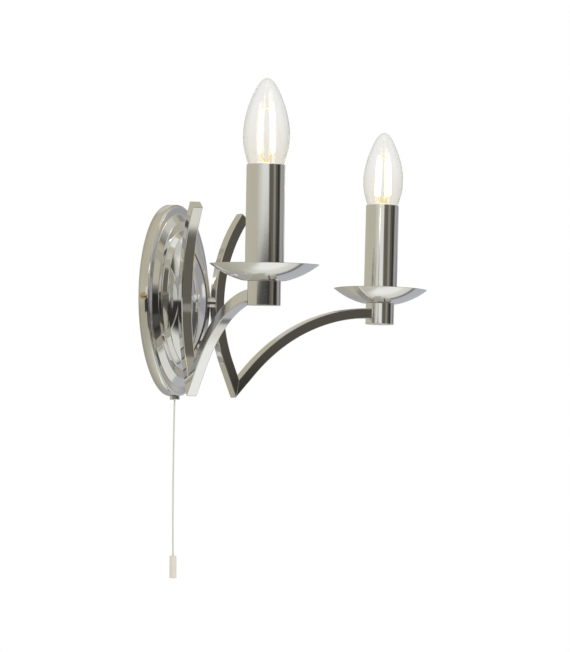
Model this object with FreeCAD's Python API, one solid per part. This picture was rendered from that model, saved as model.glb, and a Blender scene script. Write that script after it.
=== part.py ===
"""Wall light with two candle arms on a round, domed backplate with a pull-cord switch.

Millimetres. The origin is the centre of the backplate on the wall, +Z is up and the
light faces -Y. Each arm lies in its own upright plane and is drawn once in a frame of
its own: u (X) runs outwards from the upright bar, Z is up, and n (Y) crosses the bar.
"""
import FreeCAD, Part
import math
import os

# ---- driving dimensions -------------------------------------------------------------
PLATE_RADIUS = 79.5          # outside of the backplate's rim
RIM_DEPTH = 9.0              # rim, from the wall to its front edge
RIM_WIDTH = 8.0              # flat front of the rim
GROOVE_DROP = 0.6            # how far that front falls back towards the ring
RING_SLOPE = 6.5             # width of the slope up to the ring
RING_RISE = 3.8
RING_WIDTH = 7.3             # flat top of the ring
RING_FALL = 0.2
DOME_STEP = 3.2              # width of the last slope, up to the dome
DOME_STEP_RISE = 4.2
PLATE_RISE = 28.0            # top of the dome above the wall
SHEET = 1.0                  # sheet metal of the backplate

ARM_INSET = 11.5             # middle of the upright bar, inside the dome's foot
ARM_SPLAY = 51.5             # each arm's plane, turned from straight ahead, degrees
ARM_STANDOFF = 6.25          # middle of the upright bar in front of the dome
ARM_REACH = 173.0            # middle of the hub from the middle of the upright bar
BAR = 9.0                    # square tube of the arms, outside
BAR_WALL = 1.1
BAR_CORNER = 0.8
UPRIGHT_BEND = 126.5         # radius of the upright's bow
UPRIGHT_MID_Z = -3.0         # height of the bow's middle
UPRIGHT_TOP_ANGLE = 37.0     # bow above the middle, degrees
UPRIGHT_FOOT_ANGLE = 22.8    # bow below the middle, degrees
FOOT_RUN = 21.9              # straight length from each bar's bend to the pointed foot
BRANCH_SLOPE = 45.0          # branch bar where it leaves the foot, degrees
CANDLE_LEAN = 1.7            # the hub and its candle lean outwards from upright, degrees
END_CAP = 0.9

HUB_RADIUS = 12.5
HUB_HEIGHT = 18.6
HUB_FLOOR = 3.0              # metal left under its threaded bore
HUB_EDGE = 0.4
CUP_RADIUS = 41.2            # rim of the drip cup
CUP_FOOT_MARGIN = 1.4        # its flat bottom, beyond the candle tube
CUP_RISE = 12.5
CUP_SHEET = 0.9
CANDLE_RADIUS = 14.6         # candle tube, outside
CANDLE_WALL = 0.85
CANDLE_LENGTH = 86.0
CANDLE_EDGE = 0.3            # rounding of its upper edge

BULB_RADIUS = 17.6           # candle bulb at its widest
BULB_ABOVE_CANDLE = 65.2     # glass seen above the tube
BULB_SIDE_GAP = 0.5          # glass to the tube's bore, at the tube's rim
BULB_NECK_RADIUS = 8.8
BULB_NECK_DEPTH = 13.0       # neck of the glass below the tube's rim
GLASS_WALL = 0.8
GLASS_SWELL = [              # shares of the bulb's radius and of its height above the tube
    (0.903, 0.1304), (1.0, 0.3298), (0.9148, 0.54), (0.7557, 0.6933), (0.5227, 0.8482), (0.3068, 0.9448),
]
CAP_RADIUS = 6.95            # the bulb's screw cap
CAP_HEIGHT = 16.6
CAP_SHEET = 0.4
CAP_FLARE = 2.2              # its flared upper end, up to the neck
CONTACT_HEIGHT = 3.0         # tip contact and cone under the cap
STEM_ABOVE_CANDLE = 2.0      # top of the glass stem above the tube's rim
STEM_RADIUS = 2.4
FILAMENT_COUNT = 4
FILAMENT_RADIUS = 0.9
FILAMENT_ABOVE_CANDLE = 9.0  # foot of the light strips above the tube's rim
FILAMENT_LENGTH = 32.0
FILAMENT_LOW_RING = 7.0      # radius of the ring that their feet stand on
FILAMENT_HIGH_RING = 5.5
FILAMENT_TURN = 23.0         # first strip, from the arm's plane, degrees
WIRE_RADIUS = 0.45

STUD_RADIUS = 3.0            # hollow stud that holds each arm
STUD_BORE = 1.8
STUD_INNER = 17.0            # its length behind the upright
STUD_Z = 0.0                 # height of the arms' fixing
NUT_HEIGHT = 4.0
NUT_FLATS = 10.0
SADDLE_RADIUS = 6.5

NIPPLE_RADIUS = 4.95         # hollow rod from the hub to the lampholder
NIPPLE_BORE = 3.4
NIPPLE_GRIP = 8.0            # its length inside the lampholder
LOCK_NUT_FLATS = 14.0
LOCK_NUT_HEIGHT = 4.0
WIREWAY_RADIUS = 2.6
HOLDER_SIDE_GAP = 1.55       # lampholder to the candle tube's bore
HOLDER_NECK_RADIUS = 8.5
HOLDER_NECK_HEIGHT = 12.0
HOLDER_SHOULDER = 4.0
HOLDER_HEIGHT = 48.0
HOLDER_CAP_GAP = 0.3         # top of the lampholder below the cap's flare
HOLDER_SHELL_WALL = 0.5
SOCKET_CONTACT_SHEET = 0.8
SOCKET_CONTACT_RADIUS = 4.5

STRAP_DEPTH = 1.5            # sheet of the wall bracket
STRAP_HALF = 11.0
STRAP_INSET = 18.0           # end of its wide middle, inside the plate's edge
EARTH_INSET = 30.0           # earth screw, inside the plate's edge
TAB_HALF = 6.0
FIXING_SPACING = 60.3
FIXING_WIDTH = 4.5
FIXING_LENGTH = 14.0
SIDE_SCREW_RADIUS = 1.9
SIDE_HEAD_RADIUS = 3.1
SIDE_HEAD_HEIGHT = 2.0
EARTH_RADIUS = 2.0
EARTH_HEAD = 2.4
TERMINAL_WAYS = 3
TERMINAL_PITCH = 9.0
TERMINAL_DEPTH = 13.0
TERMINAL_HALF_HEIGHT = 8.0
TERMINAL_ENTRY_RADIUS = 2.2
TERMINAL_WELL_RADIUS = 2.0
TERMINAL_WELL_DEPTH = 6.0

CORD_RADIUS = 0.7
CORD_DEPTH = 4.2             # cord's axis from the wall
CORD_ROUTE = [(0.0, 0.0, -1.3), (-1.0, 1.2, -80.0), (-0.4, 0.5, -134.5)]   # from the knot
PULL_RADIUS = 2.9
PULL_LENGTH = 18.6
PULL_BEVEL = 0.8
KNOT_RADIUS = 1.5
SWITCH_STROKE = 6.0
SWITCH_HALF_WIDTH = 11.0
SWITCH_DEPTH = 6.5
SWITCH_HEIGHT = 22.6
NECK_RADIUS = 3.0            # threaded neck of the switch
NECK_BORE = 2.4
BEZEL_HEIGHT = 3.0
COLLAR_RADIUS = 2.6          # collar that keeps the plunger in
COLLAR_HEIGHT = 1.5

RUNNING = 0.08               # radial clearance of the screw cap in its socket
THREAD_GAP = 0.05            # radial clearance of fixed threaded pieces
SLIDE_GAP = 0.1              # radial clearance of the plunger and of the side screws' holes
BACK_GAP = 0.8               # switch housing from the wall

# ---- worked out ---------------------------------------------------------------------
SPLAY = math.radians(ARM_SPLAY)
SLOPE = math.radians(BRANCH_SLOPE)
FOOT_ANGLE = math.radians(UPRIGHT_FOOT_ANGLE)
MITRE_ANGLE = 0.5 * (90 - BRANCH_SLOPE - UPRIGHT_FOOT_ANGLE)

RING_FOOT_RADIUS = PLATE_RADIUS - RIM_WIDTH
RING_RADIUS = RING_FOOT_RADIUS - RING_SLOPE
RING_INNER_RADIUS = RING_RADIUS - RING_WIDTH
DOME_RADIUS = RING_INNER_RADIUS - DOME_STEP
GROOVE_DEPTH = RIM_DEPTH - GROOVE_DROP
RING_DEPTH = GROOVE_DEPTH + RING_RISE
RING_INNER_DEPTH = RING_DEPTH - RING_FALL
DOME_FOOT_DEPTH = RING_INNER_DEPTH + DOME_STEP_RISE
RING_CORNERS = [             # radius, depth, rounding of each corner of the pressed front
    (PLATE_RADIUS, RIM_DEPTH, 2.2),
    (RING_FOOT_RADIUS, GROOVE_DEPTH, 2.4),
    (RING_RADIUS, RING_DEPTH, 2.4),
    (RING_INNER_RADIUS, RING_INNER_DEPTH, 2.0),
    (DOME_RADIUS, DOME_FOOT_DEPTH, 2.6),
]
INSIDE_RADIUS = PLATE_RADIUS - SHEET

SIDE_SCREW_DEPTH = 0.5 * RIM_DEPTH - 0.1
TAB_X = math.sqrt(INSIDE_RADIUS ** 2 - TAB_HALF ** 2) - 0.3
STRAP_X = PLATE_RADIUS - STRAP_INSET
EARTH_X = PLATE_RADIUS - EARTH_INSET

BEZEL_RADIUS = CORD_DEPTH - 0.1
BEZEL_FOOT = -PLATE_RADIUS - BEZEL_HEIGHT
BEZEL_LIP = 0.6
KNOT_Z = BEZEL_FOOT + 3.5
PLUNGER_RADIUS = NECK_BORE - SLIDE_GAP
COLLAR_FOOT = KNOT_Z + 9.0
COLLAR_TOP = COLLAR_FOOT + COLLAR_HEIGHT

DOME_RISE = PLATE_RISE - DOME_FOOT_DEPTH
DOME_SPHERE = (DOME_RADIUS ** 2 + DOME_RISE ** 2) / (2 * DOME_RISE)
UPRIGHT_X = DOME_RADIUS - ARM_INSET
UPRIGHT_Y = PLATE_RISE - DOME_SPHERE + math.sqrt(DOME_SPHERE ** 2 - UPRIGHT_X ** 2) + ARM_STANDOFF
UPRIGHT_BEND_CENTRE = FreeCAD.Vector(UPRIGHT_BEND, 0, UPRIGHT_MID_Z)
FOOT_POINT = FreeCAD.Vector(
    UPRIGHT_BEND * (1 - math.cos(FOOT_ANGLE)) + FOOT_RUN * math.sin(FOOT_ANGLE), 0,
    UPRIGHT_MID_Z - UPRIGHT_BEND * math.sin(FOOT_ANGLE) - FOOT_RUN * math.cos(FOOT_ANGLE))
BRANCH_RUN = FreeCAD.Vector(FOOT_RUN * math.cos(SLOPE), 0, FOOT_RUN * math.sin(SLOPE))
BRANCH_BEND_START = FOOT_POINT.add(BRANCH_RUN)
BRANCH_END_U = ARM_REACH - HUB_RADIUS - 0.7
BRANCH_BEND = (BRANCH_END_U - BRANCH_BEND_START.x) / math.sin(SLOPE)
HUB_Z = BRANCH_BEND_START.z + BRANCH_BEND * (1 - math.cos(SLOPE))
SPACER_RADIUS = 0.49 * BAR
STUD_END = -0.5 * BAR - STUD_INNER

CANDLE_X = UPRIGHT_X + ARM_REACH * math.sin(SPLAY)
CANDLE_Y = -(UPRIGHT_Y + ARM_REACH * math.cos(SPLAY))
HUB_FOOT = HUB_Z - 0.5 * HUB_HEIGHT
CUP_FOOT = HUB_FOOT + HUB_HEIGHT
CANDLE_FOOT = CUP_FOOT + CUP_SHEET
CANDLE_TOP = CANDLE_FOOT + CANDLE_LENGTH

CANDLE_BORE = CANDLE_RADIUS - CANDLE_WALL
CUP_FOOT_RADIUS = CANDLE_RADIUS + CUP_FOOT_MARGIN

BULB_TIP = CANDLE_TOP + BULB_ABOVE_CANDLE
NECK_Z = CANDLE_TOP - BULB_NECK_DEPTH
CAP_TOP = NECK_Z - CAP_FLARE
CAP_FOOT = CAP_TOP - CAP_HEIGHT
BULB_FOOT = CAP_FOOT - CONTACT_HEIGHT
CAP_INSIDE = CAP_RADIUS - CAP_SHEET
STEM_TOP = CANDLE_TOP + STEM_ABOVE_CANDLE
THROAT_RADIUS = CANDLE_BORE - BULB_SIDE_GAP
GLASS_OUTLINE = [            # radius, height above the candle tube's rim
    (BULB_NECK_RADIUS, -BULB_NECK_DEPTH),
    (0.4 * BULB_NECK_RADIUS + 0.6 * THROAT_RADIUS, -0.477 * BULB_NECK_DEPTH),
    (THROAT_RADIUS, -0.046 * BULB_NECK_DEPTH),
] + [(r * BULB_RADIUS, h * BULB_ABOVE_CANDLE) for r, h in GLASS_SWELL]

HOLDER_RADIUS = CANDLE_BORE - HOLDER_SIDE_GAP
HOLDER_TOP = CAP_TOP - HOLDER_CAP_GAP
HOLDER_FOOT = HOLDER_TOP - HOLDER_HEIGHT
SOCKET_FLOOR = BULB_FOOT - CONTACT_HEIGHT
SOCKET_RADIUS = CAP_RADIUS + RUNNING

X_AXIS = FreeCAD.Vector(1, 0, 0)
Y_AXIS = FreeCAD.Vector(0, 1, 0)
Z_AXIS = FreeCAD.Vector(0, 0, 1)
ZERO = FreeCAD.Vector(0, 0, 0)
SIDES = {"left": -1, "right": 1}


def vec(x, y, z):
    return FreeCAD.Vector(x, y, z)


def rod(radius, z_low, z_high, x=0.0, y=0.0):
    """An upright cylinder between two heights."""
    return Part.makeCylinder(radius, z_high - z_low, vec(x, y, z_low), Z_AXIS)


def tube(radius, bore, z_low, z_high):
    return rod(radius, z_low, z_high).cut(rod(bore, z_low - 1, z_high + 1))


def block(x_low, x_high, y_low, y_high, z_low, z_high):
    return Part.makeBox(x_high - x_low, y_high - y_low, z_high - z_low, vec(x_low, y_low, z_low))


def turned(edges):
    """Solid of revolution about Z from a closed outline in the XZ plane."""
    return Part.Face(Part.Wire(edges)).revolve(ZERO, Z_AXIS, 360)


def line(start, end):
    return Part.LineSegment(start, end).toShape()


def outline(points):
    """Straight edges through (r, z) points, without the closing one."""
    corners = [vec(r, 0, z) for r, z in points]
    return [line(a, b) for a, b in zip(corners, corners[1:])]


def arc(start, middle, end):
    return Part.Arc(vec(start[0], 0, start[1]), vec(middle[0], 0, middle[1]),
                    vec(end[0], 0, end[1])).toShape()


def hexagon(across_flats, z_low, z_high):
    corner = across_flats / math.sqrt(3)
    points = [vec(corner * math.cos(math.radians(60 * k)), corner * math.sin(math.radians(60 * k)), z_low)
              for k in range(7)]
    return Part.Face(Part.makePolygon(points)).extrude(vec(0, 0, z_high - z_low))


def facing_wall(shape):
    """Turns a shape drawn with its depth along +Z so that the depth runs along -Y."""
    turned_shape = shape.copy()
    turned_shape.rotate(ZERO, X_AXIS, 90)
    return turned_shape


def ring_edge(shape, radius, height):
    """The circular edges of a turned shape at one radius and height."""
    found = []
    for edge in shape.Edges:
        if edge.Degenerated or not isinstance(edge.Curve, Part.Circle):
            continue
        if abs(edge.Curve.Radius - radius) < 0.01 and abs(edge.Curve.Center.z - height) < 0.01:
            found.append(edge)
    return found


# ---- backplate ----------------------------------------------------------------------
def corner_arcs():
    """Centre, signed radius and outward directions of the arc at each corner, positive if convex."""
    apex = (0, PLATE_RISE)
    runs = [(PLATE_RADIUS, 0)] + [(r, depth) for r, depth, _ in RING_CORNERS] + [apex]
    arcs = []
    for (before, corner, after), (_, _, rounding) in zip(zip(runs, runs[1:], runs[2:]), RING_CORNERS):
        run_in = vec(corner[0] - before[0], 0, corner[1] - before[1]).normalize()
        run_out = vec(after[0] - corner[0], 0, after[1] - corner[1]).normalize()
        turn = math.atan2(run_in.x * run_out.z - run_in.z * run_out.x, run_in.dot(run_out))
        outwards = [vec(run.z, 0, -run.x) for run in (run_in, run_out)]
        radius = math.copysign(rounding, turn)
        bisector = outwards[0].add(outwards[1]).normalize()
        centre = vec(corner[0], 0, corner[1]).sub(bisector * (radius / math.cos(0.5 * turn)))
        arcs.append((centre, radius, outwards))
    return arcs


def pressed_form(inset, back):
    """The plate's outline, drawn in by an inset and turned into a solid with its depth along +Z."""
    arcs = corner_arcs()
    foot, rounding, foot_outwards = arcs[-1]
    level = foot.z - PLATE_RISE
    sphere = (rounding ** 2 - foot.x ** 2 - level ** 2) / (2 * (level + rounding))
    sphere_centre = vec(0, 0, PLATE_RISE - sphere)
    foot_outwards[1] = foot.sub(sphere_centre).normalize()
    end = vec(PLATE_RADIUS - inset, 0, back)
    edges = [line(vec(0, 0, back), end)]
    for centre, radius, (before, after) in arcs:
        reach = radius - inset
        middle = before.add(after).normalize()
        start = centre.add(before * reach)
        edges.append(line(end, start))
        end = centre.add(after * reach)
        edges.append(Part.Arc(start, centre.add(middle * reach), end).toShape())
    middle = foot_outwards[1].add(Z_AXIS).normalize()
    top = vec(0, 0, PLATE_RISE - inset)
    edges.append(Part.Arc(end, sphere_centre.add(middle * (sphere - inset)), top).toShape())
    edges.append(line(top, vec(0, 0, back)))
    return facing_wall(turned(edges))


def backplate(filled_plate, hollow):
    """Pressed sheet cover with its holes for the side screws and the switch's neck."""
    shell = filled_plate.cut(hollow)
    for direction in SIDES.values():
        start = vec(direction * (INSIDE_RADIUS - 2 * SHEET), -SIDE_SCREW_DEPTH, 0)
        hole = Part.makeCylinder(SIDE_SCREW_RADIUS + SLIDE_GAP, 4 * SHEET, start, X_AXIS * direction)
        shell = shell.cut(hole)
    neck_radius = NECK_RADIUS + THREAD_GAP
    return shell.cut(rod(neck_radius, -PLATE_RADIUS - SHEET, -INSIDE_RADIUS + 2 * SHEET, 0, -CORD_DEPTH))


def fixing_slot(centre):
    """Slot through the strap with round ends."""
    half_run = 0.5 * (FIXING_LENGTH - FIXING_WIDTH)
    half_width = 0.5 * FIXING_WIDTH
    ends = (centre - half_run, centre + half_run)
    slot = block(*ends, -2 * STRAP_DEPTH, STRAP_DEPTH, -half_width, half_width)
    for end in ends:
        slot = slot.fuse(Part.makeCylinder(half_width, 3 * STRAP_DEPTH, vec(end, STRAP_DEPTH, 0), -Y_AXIS))
    return slot


def wall_bracket():
    """Strap across the plate with two tapped end tabs and two fixing slots."""
    tab_reach = RIM_DEPTH - 2 * SHEET
    strap = block(-TAB_X, TAB_X, -tab_reach, 0, -TAB_HALF, TAB_HALF)
    inside = TAB_X - STRAP_DEPTH
    strap = strap.cut(block(-inside, inside, -2 * tab_reach, -STRAP_DEPTH, -2 * TAB_HALF, 2 * TAB_HALF))
    bends = [edge for edge in strap.Edges
             if abs(edge.Length - 2 * TAB_HALF) < 0.01 and abs(edge.CenterOfMass.y) < 0.01
             and abs(abs(edge.CenterOfMass.x) - TAB_X) < 0.01]
    strap = strap.makeFillet(1.33 * STRAP_DEPTH, bends)
    wide = block(-STRAP_X, STRAP_X, -STRAP_DEPTH, 0, -STRAP_HALF, STRAP_HALF)
    strap = strap.fuse(wide).removeSplitter()
    for direction in SIDES.values():
        strap = strap.cut(fixing_slot(direction * 0.5 * FIXING_SPACING))
        start = vec(direction * (TAB_X - 2 * STRAP_DEPTH), -SIDE_SCREW_DEPTH, 0)
        strap = strap.cut(Part.makeCylinder(SIDE_SCREW_RADIUS, 4 * STRAP_DEPTH, start, X_AXIS * direction))
    earth_hole = Part.makeCylinder(EARTH_RADIUS, 3 * STRAP_DEPTH, vec(EARTH_X, STRAP_DEPTH, 0), -Y_AXIS)
    return strap.cut(earth_hole)


def earth_screw():
    """Cheese-headed screw in the strap, for the earth wire."""
    head_radius = 2.1 * EARTH_RADIUS
    shank = Part.makeCylinder(EARTH_RADIUS, STRAP_DEPTH + 0.5 * EARTH_HEAD, vec(EARTH_X, -0.2, 0), -Y_AXIS)
    head = Part.makeCylinder(head_radius, EARTH_HEAD, vec(EARTH_X, -STRAP_DEPTH, 0), -Y_AXIS)
    front = -STRAP_DEPTH - EARTH_HEAD
    slot = block(EARTH_X - 2 * head_radius, EARTH_X + 2 * head_radius, front - 1, front + 1, -0.5, 0.5)
    return shank.fuse(head).removeSplitter().cut(slot)


def cover_screw(direction):
    """Side screw through the rim into the bracket's tab, with a domed, slotted head."""
    foot = PLATE_RADIUS
    edge = foot + 0.45 * SIDE_HEAD_HEIGHT
    top = foot + SIDE_HEAD_HEIGHT
    crown = (0.58 * SIDE_HEAD_RADIUS, foot + 0.85 * SIDE_HEAD_HEIGHT)
    head = turned(outline([(0, foot), (SIDE_HEAD_RADIUS, foot), (SIDE_HEAD_RADIUS, edge)])
                  + [arc((SIDE_HEAD_RADIUS, edge), crown, (0, top)), line(vec(0, 0, top), vec(0, 0, foot))])
    shank = rod(SIDE_SCREW_RADIUS, TAB_X - 2 * STRAP_DEPTH, foot + 0.25 * SIDE_HEAD_HEIGHT)
    head = head.fuse(shank).removeSplitter()
    head = head.cut(block(-0.45, 0.45, -5, 5, foot + 0.55 * SIDE_HEAD_HEIGHT, top + 1))
    head.rotate(ZERO, Y_AXIS, 90 * direction)
    head.translate(vec(0, -SIDE_SCREW_DEPTH, 0))
    return head


def terminal_block():
    """Screw connector on the strap: a moulded row with two screw wells over each way."""
    half_width = 0.5 * TERMINAL_WAYS * TERMINAL_PITCH
    front = -STRAP_DEPTH - TERMINAL_DEPTH
    body = block(-half_width, half_width, front, -STRAP_DEPTH, -TERMINAL_HALF_HEIGHT, TERMINAL_HALF_HEIGHT)
    body = body.makeFillet(1.0, [edge for edge in body.Edges if abs(edge.CenterOfMass.y - front) < 0.01])
    for way in range(TERMINAL_WAYS):
        centre = (way - 0.5 * (TERMINAL_WAYS - 1)) * TERMINAL_PITCH
        entry_y = -STRAP_DEPTH - 2 * TERMINAL_ENTRY_RADIUS
        past = TERMINAL_HALF_HEIGHT + 1
        body = body.cut(rod(TERMINAL_ENTRY_RADIUS, -past, past, centre, entry_y))
        for height in (-0.5 * TERMINAL_HALF_HEIGHT, 0.5 * TERMINAL_HALF_HEIGHT):
            start = vec(centre, front - 1, height)
            body = body.cut(Part.makeCylinder(TERMINAL_WELL_RADIUS, TERMINAL_WELL_DEPTH, start, Y_AXIS))
    return body


# ---- pull switch --------------------------------------------------------------------
def switch_body():
    """Flat switch housing behind the plate, with the hollow threaded neck that holds it."""
    foot = -PLATE_RADIUS + 3.4
    front = -BACK_GAP - SWITCH_DEPTH
    housing = block(-SWITCH_HALF_WIDTH, SWITCH_HALF_WIDTH, front, -BACK_GAP, foot, foot + SWITCH_HEIGHT)
    upright_y = 0.5 * (front - BACK_GAP)
    housing = housing.makeFillet(1.0, [edge for edge in housing.Edges
                                       if abs(edge.CenterOfMass.y - upright_y) < 0.01])
    throat_half = 0.45 * SWITCH_HALF_WIDTH
    wall = -math.sqrt(INSIDE_RADIUS ** 2 - throat_half ** 2)
    housing = housing.fuse(block(-throat_half, throat_half, front + 0.7, -BACK_GAP - 0.2, wall, foot + 1))
    housing = housing.fuse(rod(NECK_RADIUS, BEZEL_FOOT + BEZEL_LIP, foot + 1, 0, -CORD_DEPTH))
    chamber_foot = COLLAR_FOOT - SWITCH_STROKE - 2 * SLIDE_GAP
    housing = housing.cut(rod(NECK_BORE, BEZEL_FOOT - 1, chamber_foot + 1, 0, -CORD_DEPTH))
    housing = housing.cut(rod(COLLAR_RADIUS + SLIDE_GAP, chamber_foot, COLLAR_TOP, 0, -CORD_DEPTH))
    return housing.removeSplitter()


def switch_bezel():
    """Round nut on the neck, under the rim, with a chamfered lower edge."""
    ring = rod(BEZEL_RADIUS, BEZEL_FOOT, -PLATE_RADIUS, 0, -CORD_DEPTH)
    ring = ring.makeChamfer(0.5, ring_edge(ring, BEZEL_RADIUS, BEZEL_FOOT))
    thread = rod(NECK_RADIUS + THREAD_GAP, BEZEL_FOOT + BEZEL_LIP, -PLATE_RADIUS + 1, 0, -CORD_DEPTH)
    ring = ring.cut(thread)
    return ring.cut(rod(NECK_BORE, BEZEL_FOOT - 1, BEZEL_FOOT + 1, 0, -CORD_DEPTH))


def switch_plunger():
    """Plunger with a collar inside the housing and a flared seat for the cord's knot."""
    foot = KNOT_Z - 2.0
    body = rod(PLUNGER_RADIUS, foot, COLLAR_TOP)
    body = body.fuse(rod(COLLAR_RADIUS, COLLAR_FOOT, COLLAR_TOP)).removeSplitter()
    throat = KNOT_RADIUS - 0.2
    throat_drop = math.sqrt(KNOT_RADIUS ** 2 - throat ** 2)
    bore = KNOT_RADIUS + SLIDE_GAP
    mouth = PLUNGER_RADIUS - 0.45
    seat = turned(outline([(0, foot), (mouth, foot), (throat, KNOT_Z - throat_drop), (bore, KNOT_Z - 0.3),
                           (bore, COLLAR_TOP), (0, COLLAR_TOP), (0, foot)]))
    body = body.cut(seat)
    body.translate(vec(0, -CORD_DEPTH, 0))
    return body


def cord_points():
    return [vec(x, y - CORD_DEPTH, z + KNOT_Z) for x, y, z in CORD_ROUTE]


def cord_knot():
    """Ball at the cord's upper end, drilled for the cord."""
    start, after = cord_points()[:2]
    ball = Part.makeSphere(KNOT_RADIUS, vec(0, -CORD_DEPTH, KNOT_Z))
    return ball.cut(Part.makeCylinder(CORD_RADIUS, 2 * KNOT_RADIUS, start, after.sub(start)))


def pull_cord():
    """Limp cord: straight runs joined by one wide arc, swept with a round section."""
    points = cord_points()
    edges = []
    start = points[0]
    for before, corner, after in zip(points, points[1:], points[2:]):
        run_in = corner.sub(before)
        run_out = after.sub(corner)
        turn = run_in.getAngle(run_out)
        reach = 0.45 * min(run_in.Length, run_out.Length)
        arc_radius = reach / math.tan(0.5 * turn)
        run_in.normalize()
        run_out.normalize()
        arc_start = corner.sub(run_in * reach)
        arc_end = corner.add(run_out * reach)
        inwards = run_out.sub(run_in)
        inwards.normalize()
        sink = arc_radius * (1 / math.cos(0.5 * turn) - 1)
        edges.append(line(start, arc_start))
        edges.append(Part.Arc(arc_start, corner.add(inwards * sink), arc_end).toShape())
        print("cord arc radius %.1f mm" % arc_radius)
        start = arc_end
    edges.append(line(start, points[-1]))
    path = Part.Wire(edges)
    direction = points[1].sub(points[0])
    section = Part.Wire([Part.Circle(points[0], direction, CORD_RADIUS).toShape()])
    swept = path.makePipeShell([section], True, True)
    print("cord volume %.1f of %.1f mm3" % (swept.Volume, math.pi * CORD_RADIUS ** 2 * path.Length))
    return swept


def cord_pull():
    """Turned pull with bevelled ends and a hole that takes the end of the cord."""
    end = cord_points()[-1]
    top = end.z + 2.0
    foot = top - PULL_LENGTH
    edge = PULL_RADIUS - PULL_BEVEL
    body = turned(outline([(0, foot), (edge, foot), (PULL_RADIUS, foot + PULL_BEVEL),
                           (PULL_RADIUS, top - PULL_BEVEL), (edge, top), (0, top), (0, foot)]))
    body = body.cut(rod(CORD_RADIUS, end.z - 0.5, top + 1))
    body.translate(vec(end.x, end.y, 0))
    return body


# ---- arms ---------------------------------------------------------------------------
def bar_section(width, corner):
    """Square face in the XY plane about the origin, with rounded corners."""
    square = Part.makePlane(width, width, vec(-0.5 * width, -0.5 * width, 0))
    if corner == 0:
        return square
    solid = square.extrude(vec(0, 0, 1))
    solid = solid.makeFillet(corner, [edge for edge in solid.Edges if abs(edge.Length - 1) < 0.001])
    return min(solid.Faces, key=lambda face: face.CenterOfMass.z)


def mitre_half(side):
    """Half space beside the mitre plane through the foot; side +1 is the branch's half."""
    size = 300.0
    half = block(0 if side > 0 else -size, size if side > 0 else 0, -size, size, -size, size)
    half.rotate(ZERO, Y_AXIS, MITRE_ANGLE)
    half.translate(FOOT_POINT)
    return half


def upright_form(width, corner):
    """The bowed upright with its straight lower run, past the foot's mitre."""
    section = bar_section(width, corner)
    section.translate(vec(0, 0, UPRIGHT_MID_Z))
    section.rotate(UPRIGHT_BEND_CENTRE, Y_AXIS, -UPRIGHT_FOOT_ANGLE)
    bow = section.revolve(UPRIGHT_BEND_CENTRE, Y_AXIS, UPRIGHT_FOOT_ANGLE + UPRIGHT_TOP_ANGLE)
    run = FOOT_RUN + 3 * BAR
    straight = section.extrude(vec(run * math.sin(FOOT_ANGLE), 0, -run * math.cos(FOOT_ANGLE)))
    return bow.fuse(straight).removeSplitter()


def branch_form(width, corner):
    """The branch: straight from the foot, then one arc that levels out at the hub."""
    section = bar_section(width, corner)
    section.rotate(ZERO, Y_AXIS, 90)
    section.translate(vec(BRANCH_END_U, 0, HUB_Z))
    level = section.extrude(vec(HUB_RADIUS, 0, 0))
    bend_centre = vec(BRANCH_END_U, 0, HUB_Z - BRANCH_BEND)
    arched = section.revolve(bend_centre, Y_AXIS, -BRANCH_SLOPE)
    lower = section.copy()
    lower.rotate(bend_centre, Y_AXIS, -BRANCH_SLOPE)
    run = FOOT_RUN + 3 * BAR
    straight = lower.extrude(vec(-run * math.cos(SLOPE), 0, -run * math.sin(SLOPE)))
    return level.fuse(arched).fuse(straight).removeSplitter()


def arm_upright():
    """Square tube upright with its mitred foot and the hole for the fixing stud."""
    outside = upright_form(BAR, BAR_CORNER)
    hollow = upright_form(BAR - 2 * BAR_WALL, 0)
    shape = outside.cut(hollow).common(mitre_half(-1))
    hole = Part.makeCylinder(STUD_RADIUS + THREAD_GAP, BAR, vec(-BAR, 0, STUD_Z), X_AXIS)
    return shape.cut(hole)


def arm_branch():
    """Square tube branch, mitred at the foot and cut to the hub's round side."""
    outside = branch_form(BAR, BAR_CORNER)
    hollow = branch_form(BAR - 2 * BAR_WALL, 0)
    shape = outside.cut(hollow).common(mitre_half(1))
    hub = rod(HUB_RADIUS, HUB_FOOT - HUB_HEIGHT, CUP_FOOT + HUB_HEIGHT)
    return shape.cut(leaning(hub, ARM_REACH))


def end_cap():
    """Flat plate that closes the top of the upright."""
    section = bar_section(BAR, BAR_CORNER)
    plate = section.extrude(vec(0, 0, END_CAP))
    plate.translate(vec(0, 0, UPRIGHT_MID_Z))
    plate.rotate(UPRIGHT_BEND_CENTRE, Y_AXIS, UPRIGHT_TOP_ANGLE)
    return plate


def arm_hub():
    """Turned hub: blind threaded bore from the top and a drilled wireway from the branch."""
    body = rod(HUB_RADIUS, HUB_FOOT, CUP_FOOT)
    rims = ring_edge(body, HUB_RADIUS, HUB_FOOT) + ring_edge(body, HUB_RADIUS, CUP_FOOT)
    body = body.makeChamfer(HUB_EDGE, rims)
    body = body.cut(rod(NIPPLE_RADIUS + THREAD_GAP, HUB_FOOT + HUB_FLOOR, CUP_FOOT + 1))
    wireway = Part.makeCylinder(WIREWAY_RADIUS, HUB_RADIUS, vec(-HUB_RADIUS - 1, 0, HUB_Z), X_AXIS)
    return body.cut(wireway)


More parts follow.
